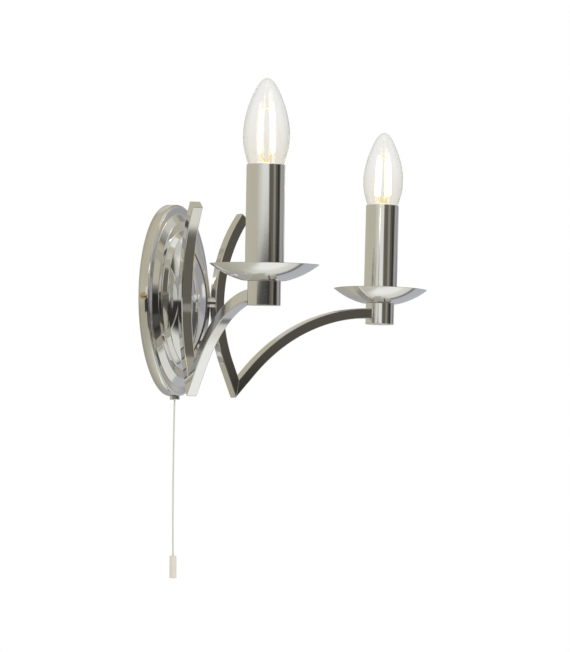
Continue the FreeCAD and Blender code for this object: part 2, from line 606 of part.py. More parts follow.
def drip_cup():
    """Shallow dish: flat foot, then a spherical flare to a thin rim."""
    rise = CUP_RISE
    drop = (CUP_RADIUS ** 2 + rise ** 2 - CUP_FOOT_RADIUS ** 2) / (2 * rise)
    sphere = math.sqrt(drop ** 2 + CUP_FOOT_RADIUS ** 2)
    centre_z = CUP_FOOT + drop
    rim_z = CUP_FOOT + rise

    def on_sphere(radius, z):
        return math.sqrt(radius ** 2 - (centre_z - z) ** 2)

    def height(radius, r):
        return centre_z - math.sqrt(radius ** 2 - r ** 2)

    inner = sphere - CUP_SHEET
    inner_foot = on_sphere(inner, CANDLE_FOOT)
    inner_rim = on_sphere(inner, rim_z)
    outer_mid = 0.5 * (CUP_RADIUS + CUP_FOOT_RADIUS)
    inner_mid = 0.5 * (inner_foot + inner_rim)
    hole = NIPPLE_RADIUS + THREAD_GAP
    underside = (outer_mid, height(sphere, outer_mid))
    topside = (inner_mid, height(inner, inner_mid))
    edges = outline([(hole, CANDLE_FOOT), (hole, CUP_FOOT), (CUP_FOOT_RADIUS, CUP_FOOT)])
    edges.append(arc((CUP_FOOT_RADIUS, CUP_FOOT), underside, (CUP_RADIUS, rim_z)))
    edges += outline([(CUP_RADIUS, rim_z), (inner_rim, rim_z)])
    edges.append(arc((inner_rim, rim_z), topside, (inner_foot, CANDLE_FOOT)))
    edges += outline([(inner_foot, CANDLE_FOOT), (hole, CANDLE_FOOT)])
    return turned(edges)


def candle_tube():
    """Drawn tube that stands on the drip cup, its upper edge rounded."""
    sleeve = tube(CANDLE_RADIUS, CANDLE_BORE, CANDLE_FOOT, CANDLE_TOP)
    return sleeve.makeFillet(CANDLE_EDGE, ring_edge(sleeve, CANDLE_RADIUS, CANDLE_TOP))


def nipple():
    """Hollow threaded rod from the hub's bore up into the lampholder."""
    return tube(NIPPLE_RADIUS, NIPPLE_BORE, HUB_FOOT + HUB_FLOOR + 1, HOLDER_FOOT + NIPPLE_GRIP)


def lock_nut():
    """Hexagon nut that clamps the drip cup on the hub."""
    nut = hexagon(LOCK_NUT_FLATS, CANDLE_FOOT, CANDLE_FOOT + LOCK_NUT_HEIGHT)
    return nut.cut(rod(NIPPLE_RADIUS + THREAD_GAP, CANDLE_FOOT - 1, CANDLE_FOOT + LOCK_NUT_HEIGHT + 1))


def lampholder():
    """Moulded lampholder: narrow threaded neck below, round body with the socket above."""
    shoulder = HOLDER_FOOT + HOLDER_NECK_HEIGHT
    body = turned(outline([(0, HOLDER_FOOT), (HOLDER_NECK_RADIUS, HOLDER_FOOT),
                           (HOLDER_NECK_RADIUS, shoulder), (HOLDER_RADIUS, shoulder + HOLDER_SHOULDER),
                           (HOLDER_RADIUS, HOLDER_TOP), (0, HOLDER_TOP), (0, HOLDER_FOOT)]))
    body = body.cut(rod(SOCKET_RADIUS + HOLDER_SHELL_WALL, SOCKET_FLOOR, HOLDER_TOP + 1))
    body = body.cut(rod(NIPPLE_RADIUS + THREAD_GAP, HOLDER_FOOT - 1, HOLDER_FOOT + NIPPLE_GRIP))
    return body.cut(rod(NIPPLE_BORE - 0.4, HOLDER_FOOT, SOCKET_FLOOR - CONTACT_HEIGHT))


def holder_shell():
    """Threaded metal sleeve of the socket, a plain tube here."""
    return tube(SOCKET_RADIUS + HOLDER_SHELL_WALL, SOCKET_RADIUS, SOCKET_FLOOR + 4, HOLDER_TOP - 1)


def holder_contact():
    """Centre contact: a springy disc on the socket's floor that meets the bulb's tip."""
    foot = rod(SOCKET_CONTACT_RADIUS, SOCKET_FLOOR, SOCKET_FLOOR + SOCKET_CONTACT_SHEET)
    post = rod(STEM_RADIUS, SOCKET_FLOOR + 0.5 * SOCKET_CONTACT_SHEET, BULB_FOOT)
    return foot.fuse(post).removeSplitter()


def along_stud(radius, start, length):
    """A cylinder on the stud's axis, from a distance outwards of the upright's middle."""
    return Part.makeCylinder(radius, length, vec(start, 0, STUD_Z), X_AXIS)


def spacer(filled_plate, upright_outside, direction):
    """Round spacer between the upright and the dome, cut to fit both."""
    collar = along_stud(SPACER_RADIUS, STUD_END, STUD_INNER + 0.5 * BAR)
    collar = collar.cut(along_stud(STUD_RADIUS + THREAD_GAP, STUD_END - 1, STUD_INNER + BAR))
    collar = on_arm(collar.cut(upright_outside), direction)
    return collar.cut(filled_plate)


def arm_stud():
    """Hollow threaded stud from the upright through the plate."""
    length = STUD_INNER + BAR_WALL
    return along_stud(STUD_RADIUS, STUD_END, length).cut(along_stud(STUD_BORE, STUD_END - 1, length + 2))


def saddle_washer(hollow, direction):
    """Washer behind the plate: one face fits the dome, the other is square to the stud."""
    back = STUD_END + NUT_HEIGHT + 1.0
    washer = along_stud(SADDLE_RADIUS, back, STUD_INNER)
    washer = washer.cut(along_stud(STUD_RADIUS + THREAD_GAP, back - 1, STUD_INNER + 2))
    return on_arm(washer, direction).common(hollow)


def stud_nut():
    """Hexagon nut on the stud's inner end, one millimetre short of its tip."""
    nut = hexagon(NUT_FLATS, 0, NUT_HEIGHT).cut(rod(STUD_RADIUS + THREAD_GAP, -1, NUT_HEIGHT + 1))
    nut.rotate(ZERO, Y_AXIS, 90)
    nut.translate(vec(STUD_END + 1.0, 0, STUD_Z))
    return nut


def on_arm(shape, direction):
    """Moves a shape from the arm's own frame to its place on the left or right."""
    moved = shape.copy()
    moved.rotate(ZERO, Z_AXIS, -90 + direction * ARM_SPLAY)
    moved.translate(vec(direction * UPRIGHT_X, -UPRIGHT_Y, 0))
    return moved


def leaning(shape, u):
    """Moves a shape drawn about the Z axis to the candle's leaning axis in the arm's own frame."""
    moved = shape.copy()
    moved.rotate(vec(0, 0, HUB_Z), Y_AXIS, CANDLE_LEAN)
    moved.translate(vec(u, 0, 0))
    return moved


def on_candle(shape, direction):
    """Moves a shape drawn about the Z axis to the candle's axis, wireway towards the wall."""
    moved = leaning(shape, 0)
    moved.rotate(ZERO, Z_AXIS, -90 + direction * ARM_SPLAY)
    moved.translate(vec(direction * CANDLE_X, CANDLE_Y, 0))
    return moved


# ---- bulbs --------------------------------------------------------------------------
def glass_profile(inset):
    """Smooth candle outline from the neck to the rounded tip, drawn in by an inset."""
    points = [vec(r - inset, 0, CANDLE_TOP + h) for r, h in GLASS_OUTLINE]
    points.append(vec(0, 0, BULB_TIP - inset))
    curve = Part.BSplineCurve()
    curve.interpolate(Points=points, InitialTangent=vec(0.35, 0, 1), FinalTangent=vec(-1, 0, 0))
    return curve.toShape()


def bulb_glass():
    """Thin candle-shaped envelope, open at the neck."""
    def body(inset):
        top = vec(0, 0, BULB_TIP - inset)
        foot = vec(0, 0, NECK_Z)
        neck = vec(BULB_NECK_RADIUS - inset, 0, NECK_Z)
        return turned([line(top, foot), line(foot, neck), glass_profile(inset)])
    return body(0).cut(body(GLASS_WALL))


def bulb_cap():
    """Screw cap whose upper end flares out to the neck of the glass."""
    return turned(outline([(CAP_INSIDE, CAP_FOOT), (CAP_RADIUS, CAP_FOOT), (CAP_RADIUS, CAP_TOP),
                           (BULB_NECK_RADIUS, NECK_Z), (BULB_NECK_RADIUS - 2 * CAP_SHEET, NECK_Z),
                           (CAP_INSIDE, CAP_TOP - CAP_SHEET), (CAP_INSIDE, CAP_FOOT)]))


def bulb_contact():
    """Insulator cone that fills the cap's lower end, with the tip contact under it."""
    cone_foot = CAP_FOOT - 0.8 * CONTACT_HEIGHT
    insulator = turned(outline([(0, cone_foot), (STEM_RADIUS + 0.6, cone_foot), (CAP_INSIDE, CAP_FOOT),
                                (CAP_INSIDE, CAP_FOOT + CONTACT_HEIGHT), (0, CAP_FOOT + CONTACT_HEIGHT),
                                (0, cone_foot)]))
    return insulator.fuse(rod(STEM_RADIUS - 0.1, BULB_FOOT, CAP_FOOT)).removeSplitter()


def bulb_stem():
    """Glass stem on a flared foot inside the cap."""
    return turned(outline([(0, CAP_TOP - 3), (CAP_INSIDE, CAP_TOP - 3), (CAP_INSIDE, CAP_TOP - 1),
                           (STEM_RADIUS, CAP_TOP + 8), (STEM_RADIUS, STEM_TOP), (0, STEM_TOP),
                           (0, CAP_TOP - 3)]))


def bulb_filaments():
    """Upright light strips that lean together, on leads from the stem, joined by a crown of wires."""
    low_z = CANDLE_TOP + FILAMENT_ABOVE_CANDLE
    high_z = low_z + FILAMENT_LENGTH
    group = rod(STEM_RADIUS, STEM_TOP, STEM_TOP + 2 * WIRE_RADIUS)
    crown = vec(0, 0, high_z + 2.0)
    group = group.fuse(Part.makeSphere(2 * WIRE_RADIUS, crown))
    for strip in range(FILAMENT_COUNT):
        angle = math.radians(FILAMENT_TURN + 360 / FILAMENT_COUNT * strip)
        outwards = vec(math.cos(angle), math.sin(angle), 0)
        low = outwards * FILAMENT_LOW_RING + vec(0, 0, low_z)
        high = outwards * FILAMENT_HIGH_RING + vec(0, 0, high_z)
        up = high.sub(low)
        group = group.fuse(Part.makeCylinder(FILAMENT_RADIUS, up.Length, low, up))
        inner = outwards * 0.5 * STEM_RADIUS + vec(0, 0, STEM_TOP + WIRE_RADIUS)
        for start, end in ((inner, low.add(up * 0.02)), (high.sub(up * 0.02), crown)):
            lead = end.sub(start)
            group = group.fuse(Part.makeCylinder(WIRE_RADIUS, lead.Length, start, lead))
    return group.removeSplitter()


# ---- assembly -----------------------------------------------------------------------
def assembly():
    filled_plate = pressed_form(0, 0)
    hollow = pressed_form(SHEET, -SHEET)
    plate = backplate(filled_plate, hollow)
    upright_outside = upright_form(BAR, BAR_CORNER)
    nodes = {
        "wall_bracket": wall_bracket(),
        "terminal_block": terminal_block(),
        "earth_screw": earth_screw(),
        "switch_body": switch_body(),
        "switch_bezel": switch_bezel(),
        "switch_plunger": switch_plunger(),
        "cord_knot": cord_knot(),
        "pull_cord": pull_cord(),
        "cord_pull": cord_pull(),
    }
    shared = {
        "arm_upright": arm_upright(), "arm_branch": arm_branch(), "end_cap": end_cap(),
        "arm_stud": arm_stud(), "stud_nut": stud_nut(),
    }
    about_candle = {
        "arm_hub": arm_hub(), "drip_cup": drip_cup(), "candle_tube": candle_tube(),
        "nipple": nipple(), "lock_nut": lock_nut(), "lampholder": lampholder(),
        "holder_shell": holder_shell(), "holder_contact": holder_contact(),
        "bulb_cap": bulb_cap(), "bulb_contact": bulb_contact(), "bulb_glass": bulb_glass(),
        "bulb_stem": bulb_stem(), "bulb_filaments": bulb_filaments(),
    }
    for side, direction in SIDES.items():
        nodes["cover_screw_" + side] = cover_screw(direction)
        nodes["arm_spacer_" + side] = spacer(filled_plate, upright_outside, direction)
        nodes["saddle_washer_" + side] = saddle_washer(hollow, direction)
        stud_hole = along_stud(STUD_RADIUS + THREAD_GAP, STUD_END, STUD_INNER)
        plate = plate.cut(on_arm(stud_hole, direction))
        for name, shape in shared.items():
            nodes[name + "_" + side] = on_arm(shape, direction)
        for name, shape in about_candle.items():
            nodes[name + "_" + side] = on_candle(shape, direction)
    nodes["backplate"] = plate
    return nodes


os.makedirs("parts", exist_ok=True)
for node, shape in assembly().items():
    if len(shape.Solids) == 1:
        shape = shape.Solids[0]
    shape.exportStep("parts/" + node + ".step")
    box = shape.BoundBox
    print("%-22s solids %d valid %s volume %9.1f  x %7.1f..%7.1f  y %7.1f..%7.1f  z %7.1f..%7.1f" % (
        node, len(shape.Solids), shape.isValid(), shape.Volume,
        box.XMin, box.XMax, box.YMin, box.YMax, box.ZMin, box.ZMax))
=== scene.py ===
"""The look of a chromed wall light with two candle arms, a domed backplate and a pull cord.

Metres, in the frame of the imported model: the origin is the centre of the backplate on the
wall, +Z is up and the light faces -Y. Shapes are worked out in millimetres, as a maker's
drawing gives them, and turned into metres where they enter a mesh.
"""

import math

import bmesh
import bpy
import numpy as np
from mathutils import Matrix, Vector


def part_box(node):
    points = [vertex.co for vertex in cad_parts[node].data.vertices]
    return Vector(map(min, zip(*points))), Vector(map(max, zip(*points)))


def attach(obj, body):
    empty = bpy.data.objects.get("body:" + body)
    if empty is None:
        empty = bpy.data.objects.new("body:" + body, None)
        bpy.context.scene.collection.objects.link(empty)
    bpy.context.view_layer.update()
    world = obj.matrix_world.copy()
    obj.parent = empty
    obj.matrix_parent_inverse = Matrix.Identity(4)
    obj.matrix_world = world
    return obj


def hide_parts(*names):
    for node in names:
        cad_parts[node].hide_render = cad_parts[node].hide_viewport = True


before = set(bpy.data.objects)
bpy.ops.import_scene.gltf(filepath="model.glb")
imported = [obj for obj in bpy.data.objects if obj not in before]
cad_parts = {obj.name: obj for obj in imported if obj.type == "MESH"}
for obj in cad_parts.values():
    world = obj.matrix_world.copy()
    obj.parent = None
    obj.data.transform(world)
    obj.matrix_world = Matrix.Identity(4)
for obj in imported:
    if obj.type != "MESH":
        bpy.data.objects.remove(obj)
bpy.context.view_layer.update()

MM = 0.001

# ---- sizes of the visible pieces, in millimetres --------------------------------------
PLATE_RADIUS = 79.5
RIM_DEPTH = 9.0
DOME_RADIUS = 54.5
DOME_FOOT_DEPTH = 16.2
PLATE_RISE = 28.0
PLATE_STEPS = [              # in from the edge, out from the rim's depth, corner radius
    (0.0, 0.0, 2.2), (8.0, -0.6, 2.4), (14.5, 3.2, 2.4), (21.8, 3.0, 2.0),
]
DOME_CORNER = 2.6            # radius of the corner at the dome's foot
DOME_LAP = 2.2               # in from the dome's edge, where its sphere begins
SHEET = 1.0
ARM_SPLAY = 51.5             # degrees from straight ahead
UPRIGHT_X = 43.0
ARM_STANDOFF = 6.25
ARM_REACH = 173.0
BAR = 9.0
BAR_CORNER = 0.8
END_CAP = 0.9                # thickness of the cap on an upright's top
END_CAP_EDGE = 0.35          # radius of its rolled edge
UPRIGHT_BEND = 126.5
UPRIGHT_MID_Z = -3.0
UPRIGHT_TOP_ANGLE = 37.0     # degrees
UPRIGHT_FOOT_ANGLE = 22.8    # degrees
FOOT_RUN = 21.9
BRANCH_SLOPE = 45.0          # degrees
BRANCH_SHORT = 0.7           # from the end of the branch's arc to the hub's wall
HUB_ENTRY = 4.0              # straight run from there into the hub
CANDLE_LEAN = 1.7            # degrees outwards
HUB_RADIUS = 12.5
HUB_HEIGHT = 18.6
CUP_RADIUS = 41.2
CUP_FOOT_RADIUS = 16.0
CUP_RISE = 12.5
CUP_SHEET = 0.9
CANDLE_RADIUS = 14.6
CANDLE_WALL = 0.85
CANDLE_LENGTH = 86.0
BULB_ABOVE_CANDLE = 65.2
GLASS_WALL = 0.6
CORD_RADIUS = 0.7
CORD_DEPTH = 4.2             # from the wall
SIDES = {"left": -1, "right": 1}

DOME_RISE = PLATE_RISE - DOME_FOOT_DEPTH
DOME_SPHERE = (DOME_RADIUS ** 2 + DOME_RISE ** 2) / (2 * DOME_RISE)
UPRIGHT_Y = PLATE_RISE - DOME_SPHERE + math.sqrt(DOME_SPHERE ** 2 - UPRIGHT_X ** 2) + ARM_STANDOFF
FOOT_ANGLE = math.radians(UPRIGHT_FOOT_ANGLE)
SLOPE = math.radians(BRANCH_SLOPE)
FOOT_POINT = np.array([
    UPRIGHT_BEND * (1 - math.cos(FOOT_ANGLE)) + FOOT_RUN * math.sin(FOOT_ANGLE), 0.0,
    UPRIGHT_MID_Z - UPRIGHT_BEND * math.sin(FOOT_ANGLE) - FOOT_RUN * math.cos(FOOT_ANGLE)])
BRANCH_START = FOOT_POINT + FOOT_RUN * np.array([math.cos(SLOPE), 0.0, math.sin(SLOPE)])
BRANCH_END_U = ARM_REACH - HUB_RADIUS - BRANCH_SHORT
BRANCH_BEND = (BRANCH_END_U - BRANCH_START[0]) / math.sin(SLOPE)
HUB_Z = BRANCH_START[2] + BRANCH_BEND * (1 - math.cos(SLOPE))
MITRE = math.radians(0.5 * (90 - BRANCH_SLOPE - UPRIGHT_FOOT_ANGLE))
MITRE_NORMAL = np.array([math.cos(MITRE), 0.0, -math.sin(MITRE)])
HUB_FOOT = HUB_Z - 0.5 * HUB_HEIGHT
CUP_FOOT = HUB_Z + 0.5 * HUB_HEIGHT
CANDLE_X = UPRIGHT_X + ARM_REACH * math.sin(math.radians(ARM_SPLAY))
CANDLE_Y = UPRIGHT_Y + ARM_REACH * math.cos(math.radians(ARM_SPLAY))
CANDLE_TOP = CUP_FOOT + CUP_SHEET + CANDLE_LENGTH

STRIP_COUNT = 4
STRIP_TURN = 23.0            # first light strip, from the arm's plane, degrees
STRIP_FOOT = CANDLE_TOP + 9.0
STRIP_TOP = STRIP_FOOT + 32.0
STRIP_FOOT_RING = 7.0        # radius of the ring of the strips' feet
STRIP_TOP_RING = 5.5
STRIP_RADIUS = 1.45

# ---- camera -----------------------------------------------------------------------------
CAMERA_POINT = (-1.96761, -0.67107, -0.10276)
CAMERA_YAW = -73.797         # degrees: 0 looks along +Y, -90 along +X
CAMERA_PITCH = -2.260        # degrees: the camera stands a little below and looks up
CAMERA_ROLL = 0.227          # degrees
FOCAL_PIXELS = 2500.0        # focal length over the picture's 570 x 652 pixels
PICTURE_HEIGHT = 652.0
SENSOR = 36.0                # millimetres, along the picture's longer side, its height
FAR_END = 20.0               # metres


def place_camera():
    """A camera whose axes are turned by yaw, pitch and roll; its lens fits the picture's height."""
    yaw, pitch, roll = (math.radians(a) for a in (CAMERA_YAW, CAMERA_PITCH, CAMERA_ROLL))
    back = Vector((math.sin(yaw) * math.cos(pitch), -math.cos(yaw) * math.cos(pitch), math.sin(pitch)))
    right = Vector((math.cos(yaw), math.sin(yaw), 0.0))
    up = back.cross(right)
    right, up = (right * math.cos(roll) + up * math.sin(roll),
                 up * math.cos(roll) - right * math.sin(roll))
    data = bpy.data.cameras.new("photo_camera")
    data.sensor_width = SENSOR
    data.lens = FOCAL_PIXELS / PICTURE_HEIGHT * SENSOR
    data.clip_end = FAR_END
    camera = bpy.data.objects.new("photo_camera", data)
    axes = Matrix((right, up, back)).transposed().to_4x4()
    camera.matrix_world = Matrix.Translation(CAMERA_POINT) @ axes
    bpy.context.scene.collection.objects.link(camera)
    bpy.context.scene.camera = camera


# ---- shader helpers -----------------------------------------------------------------------
def node(tree, kind, **settings):
    """A new shader node with its plain settings; keys that name sockets set their values."""
    made = tree.nodes.new(kind)
    for key, value in settings.items():
        if hasattr(made, key):
            setattr(made, key, value)
        else:
            made.inputs[key.replace("_", " ")].default_value = value
    return made


def ramp(tree, stops, source):
    """A colour ramp through (place, colour) stops, fed by a socket."""
    made = tree.nodes.new("ShaderNodeValToRGB")
    elements = made.color_ramp.elements
    while len(elements) < len(stops):
        elements.new(0.5)
    for element, (place, colour) in zip(elements, stops):
        element.position = place
        element.color = (*colour, 1.0)
    tree.links.new(source, made.inputs["Fac"])
    return made.outputs["Color"]


def math_node(tree, operation, first, second=0.0, clamp=False):
    """One sum of two values, each a number or a socket."""
    made = tree.nodes.new("ShaderNodeMath")
    made.operation = operation
    made.use_clamp = clamp
    for socket, value in zip(made.inputs, (first, second)):
        if isinstance(value, (int, float)):
            socket.default_value = value
        else:
            tree.links.new(value, socket)
    return made.outputs["Value"]


def mix_colour(tree, factor, first, second, blend="MIX"):
    """Two colours mixed by a factor, each of the three a plain value or a socket."""
    made = tree.nodes.new("ShaderNodeMix")
    made.data_type = "RGBA"
    made.blend_type = blend
    factor_in, first_in, second_in = made.inputs[0], made.inputs[6], made.inputs[7]
    for socket, value in ((factor_in, factor), (first_in, first), (second_in, second)):
        if isinstance(value, (int, float)):
            socket.default_value = value
        elif isinstance(value, tuple):
            socket.default_value = (*value, 1.0)
        else:
            tree.links.new(value, socket)
    return made.outputs[2]


def noise(tree, **settings):
    """Noise over the piece's Object coordinates."""
    made = node(tree, "ShaderNodeTexNoise", **settings)
    tree.links.new(node(tree, "ShaderNodeTexCoord").outputs["Object"], made.inputs["Vector"])
    return made.outputs["Fac"]


def new_group(name, inputs, outputs):
    """An empty shader node group with named sockets and its input and output nodes."""
    group = bpy.data.node_groups.new(name, "ShaderNodeTree")
    for label, kind, value in inputs:
        socket = group.interface.new_socket(label, in_out="INPUT", socket_type=kind)
        socket.default_value = value
    for label, kind in outputs:
        group.interface.new_socket(label, in_out="OUTPUT", socket_type=kind)
    return group, node(group, "NodeGroupInput"), node(group, "NodeGroupOutput")


def shade(level):
    """A grey of one level."""
    return (level, level, level)


def srgb(red, green, blue):
    """A colour given as 0 to 255 display values, made linear."""
    levels = [value / 255 for value in (red, green, blue)]
    return tuple(((c + 0.055) / 1.055) ** 2.4 if c > 0.04045 else c / 12.92 for c in levels)


# ---- the studio ---------------------------------------------------------------------------
# What chrome alone sees round the light. Walls: (elevation in degrees, display colour).
STUDIO_WALLS = [
    (-90, (205, 203, 190)), (-72, (212, 210, 196)), (-55, (197, 195, 180)), (-35, (184, 180, 163)),
    (-5, (179, 173, 154)), (3, (200, 195, 176)), (30, (194, 188, 166)), (60, (200, 194, 172)),
    (90, (203, 200, 186)),
]
# Cards, windows and furniture before the walls, each over the ones above it. A heading of 0 is
# +X and -90 is the room. (name, heading, half width, edge, elevation, half height, edge, slant,
# display colour), in degrees; a slant of 1 moves the heading one degree for each degree up.
STUDIO_CARDS = [
    ("pale floor", -60, 95, 22, -70, 22, 8, 0, (232, 231, 220)),
    ("bright floor", -15, 50, 22, -69, 9, 10, 0, (255, 255, 250)),
    ("dark lower room", -125, 60, 8, -17, 17, 6, 0, (90, 87, 78)),
    ("dark bench", -89, 41, 8, -7, 8.5, 4, 0, (52, 50, 45)),
    ("low window", -42, 20, 5, -22, 10, 5, 0, (235, 235, 226)),
    ("grey skirting", -45, 32, 8, -36, 4, 5, 0, (150, 148, 140)),
    ("lavender wall", -5, 22, 5, -22, 24, 5, 0, (190, 192, 196)),
    ("lavender foot", -3, 20, 6, -44, 2.5, 3, 0, (128, 129, 131)),
    ("lavender side", 26, 9, 7, -20, 18, 8, 0, (176, 175, 172)),
    ("upper light", -97, 14, 4, 34, 24, 6, 0, (202, 202, 194)),
    ("window", -40, 16, 5, 27, 17, 5, 0, (212, 212, 202)),
    ("top window", -42, 20, 6, 55, 6, 4, 0, (246, 246, 240)),
    ("grey panel", -5, 9, 6, 28, 12, 8, 0, (153, 152, 148)),
    ("right wall", 21, 12, 5, 20, 14, 5, 0, (214, 211, 200)),
    ("olive strip", -120, 8, 5, -3, 46, 6, 0, (106, 102, 92)),
    ("pale screen", 180, 20, 44, 7, 5.8, 0.4, 0, (232, 232, 224)),
    ("white screen", -160, 20, 7, 7, 5.8, 0.4, 0, (241, 241, 234)),
    ("olive screen", -124, 15, 7, 5.5, 6.5, 3, 0, (106, 102, 92)),
    ("grey screen", -104, 9, 5, 6.5, 6, 3, 0, (151, 149, 138)),
    ("lavender screen", -20, 40, 6, 6, 6.5, 2, 0, (168, 167, 169)),
    ("white slot", -10, 8, 4, 5, 1.5, 1, 0, (238, 238, 232)),
    ("grey boom", -68, 6, 4, 6, 24, 6, 0.7, (84, 83, 78)),
    ("brown screen", -91, 7, 3, 4, 3.5, 1.5, 0, (90, 86, 78)),
    ("black flag", -84, 11.5, 3, -2.7, 4, 1.2, 0, (50, 47, 42)),
    ("black screen", -79, 5, 3, 3.5, 3.5, 2, 0, (48, 46, 42)),
    ("small lamp", -43, 6, 3, 16, 4, 3, 0, (246, 242, 232)),
    ("dark horizon", -170, 45, 6, -7, 7.9, 0.6, 0, (62, 60, 57)),
    ("grey post", -103, 6.5, 4, -2, 3, 2, 0, (126, 122, 111)),
    ("dark post", -31, 5, 3, -4, 7, 3, 0, (88, 88, 90)),
]
# The screens stand close by, so a direction that looks up at them meets them further round:
# heading -> shift, and elevation -> share of that shift.
NEAR_SHIFT = [(-180, 0), (-160, 13), (-140, 13), (-100, 8), (-85, 8), (-60, 3), (-50, 0)]
NEAR_SHARE = [(1.2, 0), (5.8, 1), (9.0, 1), (14.0, 0)]
STUDIO_LEVEL = 0.91          # brightness of all walls and cards
DIFFUSE_LIGHT = 0.92         # plain level that lights what isn't glossy
CARD_SIZES = ("Centre Heading", "Half Width", "Side Edge", "Centre Elevation", "Half Height",
              "Level Edge", "Slant")


def card_group():
    """A soft-edged rectangle of heading and elevation, laid over the colour behind it."""
    colours = [(label, "NodeSocketColor", (1.0, 1.0, 1.0, 1.0)) for label in ("Behind", "Colour")]
    degrees = [(label, "NodeSocketFloat", 0.0) for label in ("Heading", "Elevation", *CARD_SIZES)]
    group, given, out = new_group("studio card", colours + degrees, [("Colour", "NodeSocketColor")])
    value = given.outputs

    def inside(distance, half, edge):
        """1 within half a width, 0 beyond it, with a smooth edge round the limit."""
        half_edge = math_node(group, "MULTIPLY", value[edge], 0.5)
        fade = node(group, "ShaderNodeMapRange", interpolation_type="SMOOTHSTEP", To_Min=1.0,
                    To_Max=0.0)
        group.links.new(math_node(group, "ABSOLUTE", distance), fade.inputs["Value"])
        group.links.new(math_node(group, "SUBTRACT", value[half], half_edge), fade.inputs["From Min"])
        group.links.new(math_node(group, "ADD", value[half], half_edge), fade.inputs["From Max"])
        return fade.outputs["Result"]

    rise = math_node(group, "SUBTRACT", value["Elevation"], value["Centre Elevation"])
    drift = math_node(group, "MULTIPLY", rise, value["Slant"])
    offset = math_node(group, "SUBTRACT", value["Heading"], value["Centre Heading"])
    aside = math_node(group, "SUBTRACT", offset, drift)
    wrapped = math_node(group, "WRAP", aside, 180.0)
    wrapped.node.inputs[2].default_value = -180.0
    mask = math_node(group, "MULTIPLY", inside(wrapped, "Half Width", "Side Edge"),
                     inside(rise, "Half Height", "Level Edge"))
    group.links.new(mix_colour(group, mask, value["Behind"], value["Colour"]), out.inputs["Colour"])
    return group


def build_world():
    """World light: plain white for the camera and for glass, one plain level for diffuse light, and
    for gloss a furnished studio, worked out from the heading and elevation of the direction."""
    world = bpy.data.worlds.new("studio")
    bpy.context.scene.world = world
    world.use_nodes = True
    tree = world.node_tree
    tree.nodes.clear()
    axes = node(tree, "ShaderNodeSeparateXYZ")
    tree.links.new(node(tree, "ShaderNodeTexCoord").outputs["Generated"], axes.inputs[0])
    east, north, height = axes.outputs
    turn = math_node(tree, "DEGREES", math_node(tree, "ARCTAN2", north, east))
    elevation = math_node(tree, "DEGREES", math_node(tree, "ARCSINE", height))

    def along(stops, source, low, high):
        """A ramp of values or colours over a range of degrees."""
        place = node(tree, "ShaderNodeMapRange", From_Min=low, From_Max=high)
        tree.links.new(source, place.inputs["Value"])
        return ramp(tree, [((degrees - low) / (high - low), colour) for degrees, colour in stops],
                    place.outputs["Result"])

    largest = max(shift for _, shift in NEAR_SHIFT)
    shift = along([(h, shade(v / largest)) for h, v in NEAR_SHIFT], turn, -180.0, 180.0)
    share = along([(e, shade(v)) for e, v in NEAR_SHARE], elevation, -90.0, 90.0)
    near = math_node(tree, "MULTIPLY", math_node(tree, "MULTIPLY", shift, share), largest)
    around = math_node(tree, "ADD", turn, near)
    studio = along([(e, srgb(*colour)) for e, colour in STUDIO_WALLS], elevation, -90.0, 90.0)
    card = card_group()
    for name, *sizes, colour in STUDIO_CARDS:
        placed = tree.nodes.new("ShaderNodeGroup")
        placed.node_tree = card
        placed.label = name
        for socket, source in (("Behind", studio), ("Heading", around), ("Elevation", elevation)):
            tree.links.new(source, placed.inputs[socket])
        for socket, size in zip(CARD_SIZES, sizes):
            placed.inputs[socket].default_value = size
        placed.inputs["Colour"].default_value = (*srgb(*colour), 1.0)
        studio = placed.outputs["Colour"]

    path = node(tree, "ShaderNodeLightPath")
    plain = math_node(tree, "MAXIMUM", path.outputs["Is Camera Ray"],
                      path.outputs["Is Transmission Ray"])
    studio = mix_colour(tree, 1.0, studio, shade(STUDIO_LEVEL), "MULTIPLY")
    seen = mix_colour(tree, plain, studio, shade(1.0))
    seen = mix_colour(tree, path.outputs["Is Diffuse Ray"], seen, shade(DIFFUSE_LIGHT))
    background = node(tree, "ShaderNodeBackground", Strength=1.0)
    tree.links.new(seen, background.inputs["Color"])
    output = node(tree, "ShaderNodeOutputWorld")
    tree.links.new(background.outputs[0], output.inputs["Surface"])


def soft_lamp(name, place, target, size, power):
    """A square lamp that faces a point; chrome doesn't show it."""
    data = bpy.data.lights.new(name, "AREA")
    data.size = size
    data.energy = power
    lamp = bpy.data.objects.new(name, data)
    facing = (Vector(target) - Vector(place)).to_track_quat("-Z", "Y").to_matrix().to_4x4()
    lamp.matrix_world = Matrix.Translation(place) @ facing
    lamp.visible_glossy = False
    bpy.context.scene.collection.objects.link(lamp)


